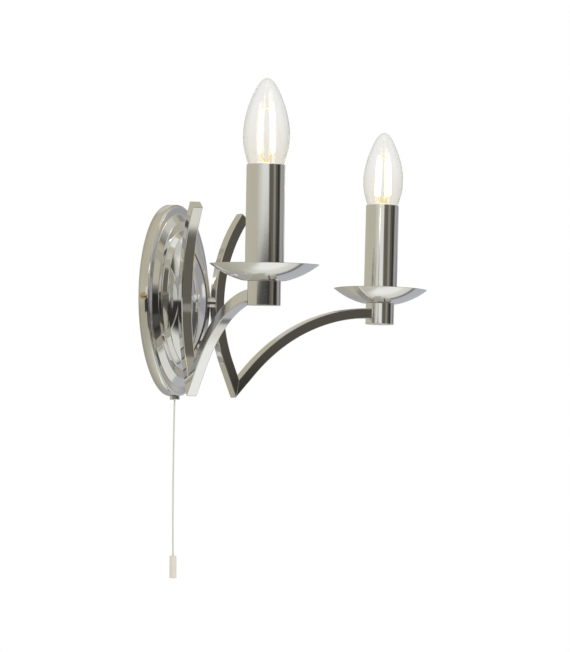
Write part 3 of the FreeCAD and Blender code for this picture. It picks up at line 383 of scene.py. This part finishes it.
# ---- finishes -----------------------------------------------------------------------------
def polish_group():
    """Buffed metal: cloudy haze in the roughness and fine buffing marks along one direction."""
    group, given, out = new_group(
        "polish",
        [("Roughness", "NodeSocketFloat", 0.1), ("Haze", "NodeSocketFloat", 0.05),
         ("Stretch", "NodeSocketVector", (1.0, 1.0, 1.0))],
        [("Roughness", "NodeSocketFloat"), ("Height", "NodeSocketFloat"), ("Cloud", "NodeSocketFloat")])
    cloud = noise(group, Scale=38.0, Detail=3.0, Roughness=0.5)
    stretched = node(group, "ShaderNodeVectorMath", operation="MULTIPLY")
    group.links.new(node(group, "ShaderNodeTexCoord").outputs["Object"], stretched.inputs[0])
    group.links.new(given.outputs["Stretch"], stretched.inputs[1])
    marks = node(group, "ShaderNodeTexNoise", Scale=2600.0, Detail=2.0, Roughness=0.6)
    group.links.new(stretched.outputs[0], marks.inputs["Vector"])
    spread = math_node(group, "SUBTRACT", cloud, 0.5)
    haze = math_node(group, "MULTIPLY", spread, given.outputs["Haze"])
    rough = math_node(group, "ADD", haze, given.outputs["Roughness"], clamp=True)
    group.links.new(rough, out.inputs["Roughness"])
    group.links.new(marks.outputs["Fac"], out.inputs["Height"])
    group.links.new(cloud, out.inputs["Cloud"])
    return group


def moulding_group():
    """Moulded plastic: a faint orange-peel height and slow colour drift."""
    group, given, out = new_group(
        "moulding",
        [("Colour", "NodeSocketColor", (0.8, 0.8, 0.8, 1.0)), ("Roughness", "NodeSocketFloat", 0.4)],
        [("Colour", "NodeSocketColor"), ("Roughness", "NodeSocketFloat"), ("Height", "NodeSocketFloat")])
    peel = noise(group, Scale=900.0, Detail=2.0)
    drift = noise(group, Scale=60.0, Detail=3.0)
    darker = mix_colour(group, 1.0, given.outputs["Colour"], shade(0.9), "MULTIPLY")
    tone = mix_colour(group, drift, darker, given.outputs["Colour"])
    change = math_node(group, "MULTIPLY", math_node(group, "SUBTRACT", drift, 0.5), 0.15)
    rough = math_node(group, "ADD", given.outputs["Roughness"], change, clamp=True)
    group.links.new(tone, out.inputs["Colour"])
    group.links.new(rough, out.inputs["Roughness"])
    group.links.new(peel, out.inputs["Height"])
    return group


POLISH = polish_group()
MOULDING = moulding_group()


def new_material(name):
    """An empty node material with its shader and output."""
    material = bpy.data.materials.new(name)
    material.use_nodes = True
    tree = material.node_tree
    tree.nodes.clear()
    shader = node(tree, "ShaderNodeBsdfPrincipled")
    output = node(tree, "ShaderNodeOutputMaterial")
    tree.links.new(shader.outputs[0], output.inputs["Surface"])
    return material, tree, shader


def add_bump(tree, shader, height, strength, distance):
    """A bump from a height socket; the distance is in metres."""
    bump = node(tree, "ShaderNodeBump", Strength=strength, Distance=distance)
    tree.links.new(height, bump.inputs["Height"])
    tree.links.new(bump.outputs[0], shader.inputs["Normal"])


def metal(name, colour, roughness, haze, stretch=(1.0, 1.0, 1.0), marks=0.05, tint=0.96):
    """A buffed metal: slightly darker where the haze gathers."""
    material, tree, shader = new_material(name)
    shader.inputs["Metallic"].default_value = 1.0
    polish = node(tree, "ShaderNodeGroup", node_tree=POLISH)
    polish.inputs["Roughness"].default_value = roughness
    polish.inputs["Haze"].default_value = haze
    polish.inputs["Stretch"].default_value = stretch
    darker = tuple(c * tint for c in colour)
    tone = mix_colour(tree, polish.outputs["Cloud"], darker, tuple(colour))
    tree.links.new(tone, shader.inputs["Base Color"])
    tree.links.new(polish.outputs["Roughness"], shader.inputs["Roughness"])
    add_bump(tree, shader, polish.outputs["Height"], marks, 0.00002)
    return material


def plastic(name, colour, roughness, bump=0.08):
    """A moulded plastic."""
    material, tree, shader = new_material(name)
    moulding = node(tree, "ShaderNodeGroup", node_tree=MOULDING)
    moulding.inputs["Colour"].default_value = (*colour, 1.0)
    moulding.inputs["Roughness"].default_value = roughness
    tree.links.new(moulding.outputs["Colour"], shader.inputs["Base Color"])
    tree.links.new(moulding.outputs["Roughness"], shader.inputs["Roughness"])
    add_bump(tree, shader, moulding.outputs["Height"], bump, 0.0001)
    return material


def height_mask(tree, stops):
    """A ramp of greys over height: stops are (height in mm, level)."""
    axes = node(tree, "ShaderNodeSeparateXYZ")
    tree.links.new(node(tree, "ShaderNodeTexCoord").outputs["Object"], axes.inputs[0])
    low, high = stops[0][0], stops[-1][0]
    place = node(tree, "ShaderNodeMapRange", From_Min=low * MM, From_Max=high * MM)
    tree.links.new(axes.outputs[2], place.inputs["Value"])
    levels = [((z - low) / (high - low), shade(level)) for z, level in stops]
    return ramp(tree, levels, place.outputs["Result"])


def glass_material(name):
    """A new material of plain, very slightly hazy glass."""
    material, tree, shader = new_material(name)
    for socket, value in (("Transmission Weight", 1.0), ("IOR", 1.45), ("Roughness", 0.05)):
        shader.inputs[socket].default_value = value
    return material, tree, shader


def facing_mask(tree, low, high):
    """0 where the surface faces the eye, 1 where it is seen edge on."""
    weight = node(tree, "ShaderNodeLayerWeight", Blend=0.5)
    return ramp(tree, [(low, shade(0)), (high, shade(1))], weight.outputs["Facing"])


def clear_glass(name, low_tint, high_tint, edge_tint, low_z, high_z):
    """Thin blown glass: its faint tint changes with height and gathers where its wall turns away."""
    material, tree, shader = glass_material(name)
    body = mix_colour(tree, height_mask(tree, [(low_z, 0), (high_z, 1)]), low_tint, high_tint)
    tinted = mix_colour(tree, facing_mask(tree, 0.3, 0.9), body, edge_tint)
    tree.links.new(tinted, shader.inputs["Base Color"])
    return material


def painted_glow_stem(name, tint, painted_glow, strength):
    """The glass stem between the light strips, with a painted glow: a warm emission that stands in for the
    strips' light in the glass, though the stem is no lamp.
    """
    material, tree, shader = glass_material(name)
    # painted glow: the stem emits a warm, swirled colour in place of the strips' light inside it
    shader.inputs["Emission Strength"].default_value = strength
    swirl = noise(tree, Scale=260.0, Detail=2.0)
    dimmer = tuple(c * 0.8 for c in painted_glow)
    tree.links.new(mix_colour(tree, swirl, tint, shade(0.96)), shader.inputs["Base Color"])
    tree.links.new(mix_colour(tree, swirl, dimmer, painted_glow), shader.inputs["Emission Color"])
    return material


def glowing(name, middle, rim, leads_painted_glow, strength, foot, top):
    """Coated light strips on bare lead wires. Between foot and top the coating glows, whiter where it faces
    the eye and yellower at its rim (a painted glow fringe); the lead wires glow with painted light too."""
    material, tree, shader = new_material(name)
    # painted glow fringe: white where the strip faces the eye, yellow towards its outline, in place of the
    # glow round a bright strip
    strip = mix_colour(tree, facing_mask(tree, 0.35, 0.85), middle, rim)
    coated = height_mask(tree, [(foot - 30, 0), (foot - 1.5, 0), (foot + 0.5, 1),
                                (top - 0.5, 1), (top + 1.5, 0), (top + 30, 0)])
    tone = mix_colour(tree, coated, leads_painted_glow, strip)
    grain = noise(tree, Scale=1500.0, Detail=2.0)
    tree.links.new(mix_colour(tree, grain, tone, rim), shader.inputs["Base Color"])
    # painted glow: the emission takes the strip's colour and, below and above the coating, the lead wires'
    # colour, so the lead wires glow though they are no lamp
    tree.links.new(tone, shader.inputs["Emission Color"])
    shader.inputs["Emission Strength"].default_value = strength
    shader.inputs["Roughness"].default_value = 0.6
    return material


def braided_cord(name, colour):
    """Fine braid: slightly wavy bands up the cord, in colour and in height."""
    material, tree, shader = new_material(name)
    wave = node(tree, "ShaderNodeTexWave", bands_direction="Z", Scale=420.0, Distortion=2.0, Detail=1.0)
    tree.links.new(node(tree, "ShaderNodeTexCoord").outputs["Object"], wave.inputs["Vector"])
    tone = mix_colour(tree, wave.outputs["Fac"], tuple(c * 0.82 for c in colour), colour)
    tree.links.new(tone, shader.inputs["Base Color"])
    shader.inputs["Roughness"].default_value = 0.75
    add_bump(tree, shader, wave.outputs["Fac"], 0.4, 0.0002)
    return material


CHROME = (0.88, 0.88, 0.89)
FINISHES = {
    "chrome": metal("polished_chrome", CHROME, 0.07, 0.05),
    "chrome_tube": metal("drawn_chrome_tube", CHROME, 0.08, 0.04, stretch=(1.0, 1.0, 0.03), marks=0.1),
    "zinc": metal("zinc_plate", (0.60, 0.61, 0.62), 0.36, 0.2, marks=0.4, tint=0.8),
    "brass": metal("turned_brass", (0.80, 0.67, 0.42), 0.22, 0.15, marks=0.2, tint=0.85),
    "cap": metal("rolled_cap", (0.78, 0.78, 0.77), 0.25, 0.15, marks=0.2, tint=0.85),
    "white_plastic": plastic("white_moulding", (0.85, 0.85, 0.82), 0.45),
    "ivory": plastic("ivory_moulding", (0.80, 0.75, 0.64), 0.35),
    "insulator": plastic("black_insulator", (0.02, 0.018, 0.018), 0.2),
    "cord": braided_cord("cord_braid", (0.72, 0.70, 0.62)),
    "glass": clear_glass("bulb_glass", low_tint=(0.90, 0.88, 0.83), high_tint=(0.935, 0.932, 0.922),
                         edge_tint=(0.72, 0.735, 0.695), low_z=CANDLE_TOP, high_z=CANDLE_TOP + 40),
    # the stem's warm emission is a painted glow
    "stem": painted_glow_stem("glass_stem_painted_glow", tint=(0.95, 0.92, 0.84), painted_glow=(0.50, 0.38, 0.17), strength=1.0),
    # the strips' white-to-yellow fringe and the lead wires' glow are painted light
    "filament": glowing("light_strip", middle=(1.0, 0.86, 0.56), rim=(0.46, 0.33, 0.10),
                        leads_painted_glow=(0.22, 0.175, 0.07), strength=4.0, foot=STRIP_FOOT, top=STRIP_TOP),
}


# ---- surfaces -----------------------------------------------------------------------------
def rounded_profile(corners, closed=True, steps=6):
    """Points of an outline whose corners are arcs.

    Each corner is (across, along, radius). Its arc starts and ends where a circle of that
    radius touches both runs, and a support point just outside each end keeps the runs flat.
    """
    places = np.array([corner[:2] for corner in corners], dtype=float)
    points = []
    for index, corner in enumerate(corners):
        radius = corner[2]
        here = places[index]
        if radius == 0 or (not closed and index in (0, len(corners) - 1)):
            points.append(here[None])
            continue
        before = places[index - 1] - here
        after = places[(index + 1) % len(corners)] - here
        before /= np.linalg.norm(before)
        after /= np.linalg.norm(after)
        half = 0.5 * math.acos(np.clip(before @ after, -1, 1))
        reach = radius / math.tan(half)
        centre = here + (before + after) / np.linalg.norm(before + after) * radius / math.sin(half)
        start = here + before * reach - centre
        end = here + after * reach - centre
        turn = math.atan2(start[0] * end[1] - start[1] * end[0], start @ end)
        angle = np.linspace(0, turn, steps + 1)[:, None]
        across = np.array([-start[1], start[0]])
        arc = centre + start * np.cos(angle) + across * np.sin(angle)
        support = 0.06 * radius
        points += [(arc[0] + before * support)[None], arc, (arc[-1] + after * support)[None]]
    return np.concatenate(points)


def grid_piece(name, points, body, finish, wrap_rows=False, place=None, replaces=()):
    """A mesh from a grid of points: rows along one parameter, columns round the other.

    Quads join neighbours; the columns, and rows that wrap, join back to the start. Equal points
    are merged, which closes seams and poles, and the faces are turned outwards.
    """
    rows, columns = points.shape[:2]
    row = np.arange(rows if wrap_rows else rows - 1)
    row_a, column_a = np.meshgrid(row, np.arange(columns), indexing="ij")
    row_b, column_b = (row_a + 1) % rows, (column_a + 1) % columns
    quads = np.stack([row_a * columns + column_a, row_a * columns + column_b,
                      row_b * columns + column_b, row_b * columns + column_a], axis=-1).reshape(-1, 4)
    flat = points.reshape(-1, 3)
    if place is not None:
        flat = flat @ place[0].T + place[1]
    mesh = bpy.data.meshes.new(name)
    mesh.from_pydata((flat * MM).tolist(), [], quads.tolist())
    shape = bmesh.new()
    shape.from_mesh(mesh)
    bmesh.ops.remove_doubles(shape, verts=shape.verts, dist=1e-7)
    bmesh.ops.dissolve_degenerate(shape, edges=shape.edges, dist=1e-8)
    bmesh.ops.recalc_face_normals(shape, faces=shape.faces)
    shape.to_mesh(mesh)
    shape.free()
    mesh.polygons.foreach_set("use_smooth", np.ones(len(mesh.polygons), dtype=bool))
    mesh.materials.append(FINISHES[finish])
    piece = bpy.data.objects.new(name, mesh)
    bpy.context.scene.collection.objects.link(piece)
    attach(piece, body)
    if replaces:
        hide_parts(*replaces)
    return piece


def turned(profile, segments=160):
    """A profile of (radius, height) carried round the upright axis in equal steps."""
    angle = np.linspace(0, 2 * math.pi, segments, endpoint=False)
    radius = profile[:, 0][:, None]
    return np.stack([radius * np.cos(angle), radius * np.sin(angle),
                     np.broadcast_to(profile[:, 1][:, None], (len(profile), segments))], axis=-1)


def wall_facing(points):
    """Turns heights above the wall from +Z to -Y."""
    return np.stack([points[..., 0], -points[..., 2], points[..., 1]], axis=-1)


def turn_about_z(degrees):
    """The matrix of a turn about the upright axis."""
    cosine, sine = math.cos(math.radians(degrees)), math.sin(math.radians(degrees))
    return np.array([[cosine, -sine, 0], [sine, cosine, 0], [0, 0, 1]])


def arm_place(side):
    """Turn and shift from an arm's own plane (u, across, up) to its place."""
    return turn_about_z(-90 + side * ARM_SPLAY), np.array([side * UPRIGHT_X, -UPRIGHT_Y, 0.0])


def candle_place(side):
    """Turn and shift from the Z axis to a candle's axis, which leans out about the hub's middle."""
    lean = math.radians(CANDLE_LEAN)
    tilt = np.array([[math.cos(lean), 0, math.sin(lean)], [0, 1, 0], [-math.sin(lean), 0, math.cos(lean)]])
    turn = turn_about_z(-90 + side * ARM_SPLAY)
    middle = np.array([0.0, 0.0, HUB_Z])
    return turn @ tilt, turn @ (middle - tilt @ middle) + (side * CANDLE_X, -CANDLE_Y, 0.0)


def span(node_name):
    """Lowest and highest corner of a CAD node, in millimetres."""
    low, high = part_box(node_name)
    return np.array(low) / MM, np.array(high) / MM


# ---- backplate ------------------------------------------------------------------------------
def backplate_piece():
    """Pressed round plate: a stepped outline with rounded corners and a spherical dome, turned about
    the wall's normal. The inside repeats the outside, drawn in by the sheet's thickness."""
    corners = [(PLATE_RADIUS - inwards, RIM_DEPTH + rise, radius) for inwards, rise, radius in PLATE_STEPS]
    corners.append((DOME_RADIUS, DOME_FOOT_DEPTH, DOME_CORNER))

    def outline(inset):
        """The plate's outline, drawn in square to itself."""
        radius = np.linspace(DOME_RADIUS - DOME_LAP, 0, 60)
        dome_height = PLATE_RISE - DOME_SPHERE + np.sqrt((DOME_SPHERE - inset) ** 2 - radius ** 2)
        dome = np.stack([radius, dome_height], axis=-1)
        steps = rounded_profile([(PLATE_RADIUS, 0.0, 0)] + corners + [(*dome[0], 0)], closed=False,
                                steps=10)
        slope = np.gradient(steps, axis=0)
        slope /= np.linalg.norm(slope, axis=1)[:, None]
        steps = steps + inset * np.stack([-slope[:, 1], slope[:, 0]], axis=-1)
        steps[0, 1] = 0.0
        return np.concatenate([steps[:-1], dome])

    profile = np.concatenate([outline(0.0), outline(SHEET)[::-1]])
    grid_piece("pressed_backplate", wall_facing(turned(profile, 256)), "fixture", "chrome",
               wrap_rows=True, replaces=("backplate",))


# ---- arms -----------------------------------------------------------------------------------
NEARLY = 0.98                # share of the way at which a support ring keeps an edge crisp
LID_RING = 0.96              # the same on the small end cap


def bar_section(width, radius):
    """A rounded square about the origin, as (in-plane, across) points."""
    half = 0.5 * width
    quarters = ((1, -1), (1, 1), (-1, 1), (-1, -1))
    return rounded_profile([(x * half, y * half, radius) for x, y in quarters])


def carried(section, centres, normals):
    """A section carried along a path: each ring lies in its in-plane normal and the cross direction."""
    across = np.array([0.0, 1.0, 0.0])
    return centres[:, None] + section[None, :, :1] * normals[:, None] + section[None, :, 1:] * across


def meet_plane(ring, heading_vector, point, normal):
    """Slides the points of a ring along a heading until they lie in a plane."""
    reach = ((point - ring) @ normal) / (heading_vector @ normal)
    return ring + reach[:, None] * heading_vector


def mitred_foot(ring, downward):
    """Rings that run a bar down to the mitre and close it there: one just short of the plane, the
    outline in it, the same drawn in, and its middle."""
    foot = meet_plane(ring, downward, FOOT_POINT, MITRE_NORMAL)
    return np.stack([ring + (foot - ring) * NEARLY, foot, FOOT_POINT + (foot - FOOT_POINT) * NEARLY,
                     np.broadcast_to(FOOT_POINT, foot.shape)])


def upright_piece(side_name, side):
    """Bowed bar: a rounded square carried along an arc, then straight down to the mitre. Its top is
    closed by a lid whose edge rolls in along a quarter circle."""
    section = bar_section(BAR, BAR_CORNER)
    angle = np.radians(np.linspace(UPRIGHT_TOP_ANGLE, -UPRIGHT_FOOT_ANGLE, 90))
    normals = np.stack([-np.cos(angle), 0 * angle, np.sin(angle)], axis=-1)
    centre = np.array([UPRIGHT_BEND, 0.0, UPRIGHT_MID_Z])
    bow = carried(section, centre + UPRIGHT_BEND * normals, normals)
    downward = np.array([math.sin(FOOT_ANGLE), 0.0, -math.cos(FOOT_ANGLE)])
    top_centre = centre + UPRIGHT_BEND * normals[0]
    upward = np.array([math.sin(angle[0]), 0.0, math.cos(angle[0])])
    top_rings = [bow[0] + upward * (END_CAP - END_CAP_EDGE)]
    for step in np.linspace(0, 0.5 * math.pi, 5)[1:]:
        inset = END_CAP_EDGE * (1 - math.cos(step)) / (0.5 * BAR)
        level = upward * (END_CAP - END_CAP_EDGE + END_CAP_EDGE * math.sin(step))
        top_rings.append(top_centre + (bow[0] - top_centre) * (1 - inset) + level)
    lid_centre = top_centre + upward * END_CAP
    top_rings.append(lid_centre + (top_rings[-1] - lid_centre) * LID_RING)
    top_rings.append(np.broadcast_to(lid_centre, bow[0].shape))
    points = np.concatenate([np.stack(top_rings[::-1]), bow, mitred_foot(bow[-1], downward)])
    grid_piece("bowed_upright_" + side_name, points, "fixture", "chrome",
               place=arm_place(side), replaces=("arm_upright_" + side_name, "end_cap_" + side_name))


def branch_piece(side_name, side):
    """Branch bar: from the mitre straight up the slope, then one arc that levels out before the hub
    and a short run into it."""
    section = bar_section(BAR, BAR_CORNER)
    angle = np.linspace(SLOPE, 0, 80)
    centre = np.array([BRANCH_END_U, 0.0, HUB_Z - BRANCH_BEND])
    normals = np.stack([-np.sin(angle), 0 * angle, np.cos(angle)], axis=-1)
    bow = carried(section, centre + BRANCH_BEND * normals, normals)
    downward = -np.array([math.cos(SLOPE), 0.0, math.sin(SLOPE)])
    inside_hub = bow[-1] + np.array([HUB_ENTRY, 0.0, 0.0])
    hub_end = np.broadcast_to(np.array([BRANCH_END_U + HUB_ENTRY, 0.0, HUB_Z]), inside_hub.shape)
    points = np.concatenate([mitred_foot(bow[0], downward)[::-1], bow, inside_hub[None], hub_end[None]])
    grid_piece("branch_bar_" + side_name, points, "fixture", "chrome", place=arm_place(side),
               replaces=("arm_branch_" + side_name,))


# ---- candle pieces --------------------------------------------------------------------------
FLAT_SUPPORT = 0.4           # from an edge to the support point that keeps a flat flat
RIM_SUPPORT = 0.02           # the same on the cup's thin rim


def hub_piece(side_name, side):
    """Short turned hub: a solid outline with fine bevels at both ends."""
    profile = rounded_profile([(0, HUB_FOOT, 0), (HUB_RADIUS, HUB_FOOT, 0.45),
                               (HUB_RADIUS, CUP_FOOT, 0.45), (0, CUP_FOOT, 0)], closed=False)
    grid_piece("turned_hub_" + side_name, turned(profile, 128), "fixture", "chrome",
               place=candle_place(side), replaces=("arm_hub_" + side_name,))


def cup_piece(side_name, side):
    """Drip cup: a flat foot and a spherical flare, the inside a smaller sphere about the same centre."""
    rim_z = CUP_FOOT + CUP_RISE
    floor_z = CUP_FOOT + CUP_SHEET
    drop = (CUP_RADIUS ** 2 + CUP_RISE ** 2 - CUP_FOOT_RADIUS ** 2) / (2 * CUP_RISE)
    sphere = math.hypot(drop, CUP_FOOT_RADIUS)
    centre = CUP_FOOT + drop

    def flare(radius, start_height, end_height):
        """An arc of a sphere's outline between two heights."""
        start = math.asin(math.sqrt(radius ** 2 - (centre - start_height) ** 2) / radius)
        end = math.asin(math.sqrt(radius ** 2 - (centre - end_height) ** 2) / radius)
        angle = np.linspace(start, end, 48)
        return np.stack([radius * np.sin(angle), centre - radius * np.cos(angle)], axis=-1)

    outer = flare(sphere, CUP_FOOT, rim_z)
    inner = flare(sphere - CUP_SHEET, floor_z, rim_z)[::-1]
    foot = np.array([(0.0, CUP_FOOT), (CUP_FOOT_RADIUS - FLAT_SUPPORT, CUP_FOOT)])
    inside = np.array([(inner[-1, 0] - FLAT_SUPPORT, floor_z), (0.0, floor_z)])
    rim = np.array([outer[-1] + (-RIM_SUPPORT, 0.0), inner[0] + (RIM_SUPPORT, 0.0)])
    profile = np.concatenate([foot, outer, rim, inner, inside])
    grid_piece("drip_cup_" + side_name + "_spun", turned(profile, 220), "fixture", "chrome",
               place=candle_place(side), replaces=("drip_cup_" + side_name,))


def candle_tube_piece(side_name, side):
    """Drawn tube: a thin rounded wall turned about the candle's axis."""
    foot = CUP_FOOT + CUP_SHEET
    inside = CANDLE_RADIUS - CANDLE_WALL
    profile = rounded_profile([(CANDLE_RADIUS, foot, 0.15), (CANDLE_RADIUS, CANDLE_TOP, 0.35),
                               (inside, CANDLE_TOP, 0.2), (inside, foot, 0.15)])
    grid_piece("drawn_candle_tube_" + side_name, turned(profile, 160), "fixture", "chrome_tube",
               place=candle_place(side), wrap_rows=True, replaces=("candle_tube_" + side_name,))


def smooth_curve(points, count):
    """Points of a natural cubic spline through the given ones, by arc length."""
    points = np.array(points, dtype=float)
    gaps = np.concatenate([[0], np.cumsum(np.linalg.norm(np.diff(points, axis=0), axis=1))])
    size = len(gaps)
    step = np.diff(gaps)
    system = np.eye(size)
    right = np.zeros_like(points)
    for k in range(1, size - 1):
        system[k, k - 1:k + 2] = step[k - 1], 2 * (step[k - 1] + step[k]), step[k]
        right[k] = 6 * ((points[k + 1] - points[k]) / step[k]
                        - (points[k] - points[k - 1]) / step[k - 1])
    bend = np.linalg.solve(system, right)
    at = np.linspace(0, gaps[-1], count)
    left = np.clip(np.searchsorted(gaps, at, side="right") - 1, 0, size - 2)
    before, after = (at - gaps[left])[:, None], (gaps[left + 1] - at)[:, None]
    h = step[left][:, None]
    return (bend[left] * after ** 3 / (6 * h) + bend[left + 1] * before ** 3 / (6 * h)
            + (points[left] / h - bend[left] * h / 6) * after
            + (points[left + 1] / h - bend[left + 1] * h / 6) * before)


GLASS_OUTLINE = [            # radius, height above the candle tube's rim
    (8.8, -13.0), (11.5, -6.2), (13.2, -0.6), (15.88, 8.5), (17.6, 21.5), (16.1, 35.2), (13.3, 45.2),
    (9.2, 55.3), (5.4, 61.6), (0.0, BULB_ABOVE_CANDLE),
]
OUTLINE_POINTS = 121


def bulb_glass_piece(side_name, side):
    """Blown candle bulb: a spline turned about the axis, with a thin wall and an open neck. The
    outline is mirrored before it is smoothed, so that its tip is level."""
    half = [(radius, CANDLE_TOP + height) for radius, height in GLASS_OUTLINE]
    mirrored = half + [(-radius, height) for radius, height in half[-2::-1]]
    full = smooth_curve(mirrored, 2 * OUTLINE_POINTS - 1)
    outer = full[:OUTLINE_POINTS]
    outer[-1, 0] = 0.0
    slope = np.gradient(full, axis=0)[:OUTLINE_POINTS]
    slope /= np.linalg.norm(slope, axis=1)[:, None]
    inner = outer + GLASS_WALL * np.stack([-slope[:, 1], slope[:, 0]], axis=-1)
    inner[0, 1] = outer[0, 1]
    inner[-1, 0] = 0.0
    profile = np.concatenate([outer, inner[::-1]])
    grid_piece("blown_glass_" + side_name, turned(profile, 128), "bulb_" + side_name, "glass",
               place=candle_place(side), wrap_rows=True, replaces=("bulb_glass_" + side_name,))


def light_strip_pieces(side_name, side):
    """Thick glowing coating of the light strips: rods with round ends, each turned about the line
    from its foot on the lower ring to its top on the upper ring."""
    quarter = np.linspace(0, 0.5 * math.pi, 8)
    for strip in range(STRIP_COUNT):
        angle = math.radians(STRIP_TURN + 360 / STRIP_COUNT * strip)
        outwards = np.array([math.cos(angle), math.sin(angle), 0.0])
        foot = STRIP_FOOT_RING * outwards + (0, 0, STRIP_FOOT)
        along = STRIP_TOP_RING * outwards + (0, 0, STRIP_TOP) - foot
        length = float(np.linalg.norm(along))
        along /= length
        aside = np.array([-math.sin(angle), math.cos(angle), 0.0])
        basis = np.stack([aside, np.cross(along, aside), along], axis=1)
        low_end = STRIP_RADIUS * np.stack([np.sin(quarter), 1 - np.cos(quarter)], axis=-1)
        profile = np.concatenate([low_end, (low_end * (1, -1) + (0, length))[::-1]])
        turn, shift = candle_place(side)
        grid_piece("light_strip_%s_%d" % (side_name, strip + 1), turned(profile, 24),
                   "bulb_" + side_name, "filament", place=(turn @ basis, turn @ foot + shift))


# ---- switch cord ----------------------------------------------------------------------------
KNOT_Z = -79.0
CORD_ROUTE = np.array([(0.0, 0.0, -1.3), (-1.0, 1.2, -80.0), (-0.4, 0.5, -134.5)])   # from the knot
PULL_MOUTH = 0.15            # clearance round the cord in the pull's mouth


def cord_piece():
    """The limp cord: a smooth curve with the route's points as control points."""
    data = bpy.data.curves.new("switch_cord", "CURVE")
    data.dimensions = "3D"
    data.bevel_depth = CORD_RADIUS * MM
    data.bevel_resolution = 5
    data.resolution_u = 40
    data.use_fill_caps = True
    spline = data.splines.new("NURBS")
    spline.points.add(len(CORD_ROUTE) - 1)
    for point, (x, y, z) in zip(spline.points, CORD_ROUTE.tolist()):
        point.co = (x * MM, (y - CORD_DEPTH) * MM, (z + KNOT_Z) * MM, 1.0)
    spline.order_u = 3
    spline.use_endpoint_u = True
    data.materials.append(FINISHES["cord"])
    piece = bpy.data.objects.new("switch_cord", data)
    bpy.context.scene.collection.objects.link(piece)
    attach(piece, "cord")
    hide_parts("pull_cord")
    return piece


def pull_piece():
    """Turned ivory pull with rolled ends and a small mouth for the cord."""
    low, high = span("cord_pull")
    centre = 0.5 * (low + high)
    radius = 0.5 * (high[0] - low[0])
    foot, top = low[2], high[2]
    profile = rounded_profile([(0, foot, 0), (radius, foot, 0.9), (radius, top, 0.9), (1.2, top, 0.2),
                               (CORD_RADIUS + PULL_MOUTH, top - 1.2, 0.2), (0, top - 1.3, 0)], closed=False)
    return grid_piece("ivory_pull", turned(profile, 72), "cord", "ivory",
                      place=(np.eye(3), np.array([centre[0], centre[1], 0.0])), replaces=("cord_pull",))


# ---- CAD nodes that keep their own shape ------------------------------------------------------
NODE_FINISH = {
    "wall_bracket": "zinc", "terminal_block": "white_plastic", "earth_screw": "brass",
    "switch_body": "white_plastic", "switch_plunger": "white_plastic", "cord_knot": "cord",
    "cover_screw": "brass", "saddle_washer": "zinc", "arm_stud": "zinc", "stud_nut": "zinc",
    "nipple": "zinc", "lock_nut": "zinc", "lampholder": "white_plastic", "holder_shell": "brass",
    "holder_contact": "brass", "bulb_cap": "cap", "bulb_contact": "insulator",
    "bulb_filaments": "filament", "bulb_stem": "stem", "bulb_glass": "glass",
}                            # the others are chrome


def finish_nodes():
    """Gives each CAD node that stays the finish of its kind."""
    for name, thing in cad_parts.items():
        kind = name.removesuffix("_left").removesuffix("_right")
        thing.data.materials.clear()
        thing.data.materials.append(FINISHES[NODE_FINISH.get(kind, "chrome")])


# ---- floor ------------------------------------------------------------------------------------
FLOOR_RADIUS = 1.6           # metres, as the next two
FLOOR_Y = -0.1
FLOOR_Z = -0.5
FLOOR_CORNERS = 96


def floor():
    """A round pale floor under the light, as a stage, that hides nothing from a camera below it."""
    angle = np.linspace(0, 2 * math.pi, FLOOR_CORNERS, endpoint=False)
    points = np.stack([FLOOR_RADIUS * np.cos(angle), FLOOR_RADIUS * np.sin(angle) + FLOOR_Y,
                       np.full(FLOOR_CORNERS, FLOOR_Z)], axis=-1)
    mesh = bpy.data.meshes.new("studio_floor")
    mesh.from_pydata(points.tolist(), [], [list(range(FLOOR_CORNERS))])
    material, tree, shader = new_material("pale_floor")
    speck = mix_colour(tree, noise(tree, Scale=12.0), shade(0.9), shade(0.94))
    tree.links.new(speck, shader.inputs["Base Color"])
    shader.inputs["Roughness"].default_value = 0.9
    below = node(tree, "ShaderNodeMixShader")
    tree.links.new(node(tree, "ShaderNodeNewGeometry").outputs["Backfacing"], below.inputs[0])
    tree.links.new(shader.outputs[0], below.inputs[1])
    tree.links.new(node(tree, "ShaderNodeBsdfTransparent").outputs[0], below.inputs[2])
    output = next(each for each in tree.nodes if each.type == "OUTPUT_MATERIAL")
    tree.links.new(below.outputs[0], output.inputs["Surface"])
    mesh.materials.append(material)
    plane = bpy.data.objects.new("studio_floor", mesh)
    plane.visible_glossy = False          # chrome sees the studio's own pale floor
    bpy.context.scene.collection.objects.link(plane)


# ---- assembly ---------------------------------------------------------------------------------
bpy.context.scene.view_settings.view_transform = "Standard"
place_camera()
build_world()
soft_lamp("key", place=(-1.2, -1.6, 1.6), target=(0.0, -0.1, 0.0), size=1.2, power=14.0)
floor()
finish_nodes()
backplate_piece()
for side_name, side in SIDES.items():
    upright_piece(side_name, side)
    branch_piece(side_name, side)
    hub_piece(side_name, side)
    cup_piece(side_name, side)
    candle_tube_piece(side_name, side)
    bulb_glass_piece(side_name, side)
    light_strip_pieces(side_name, side)
switch_cord = cord_piece()
ivory_pull = pull_piece()
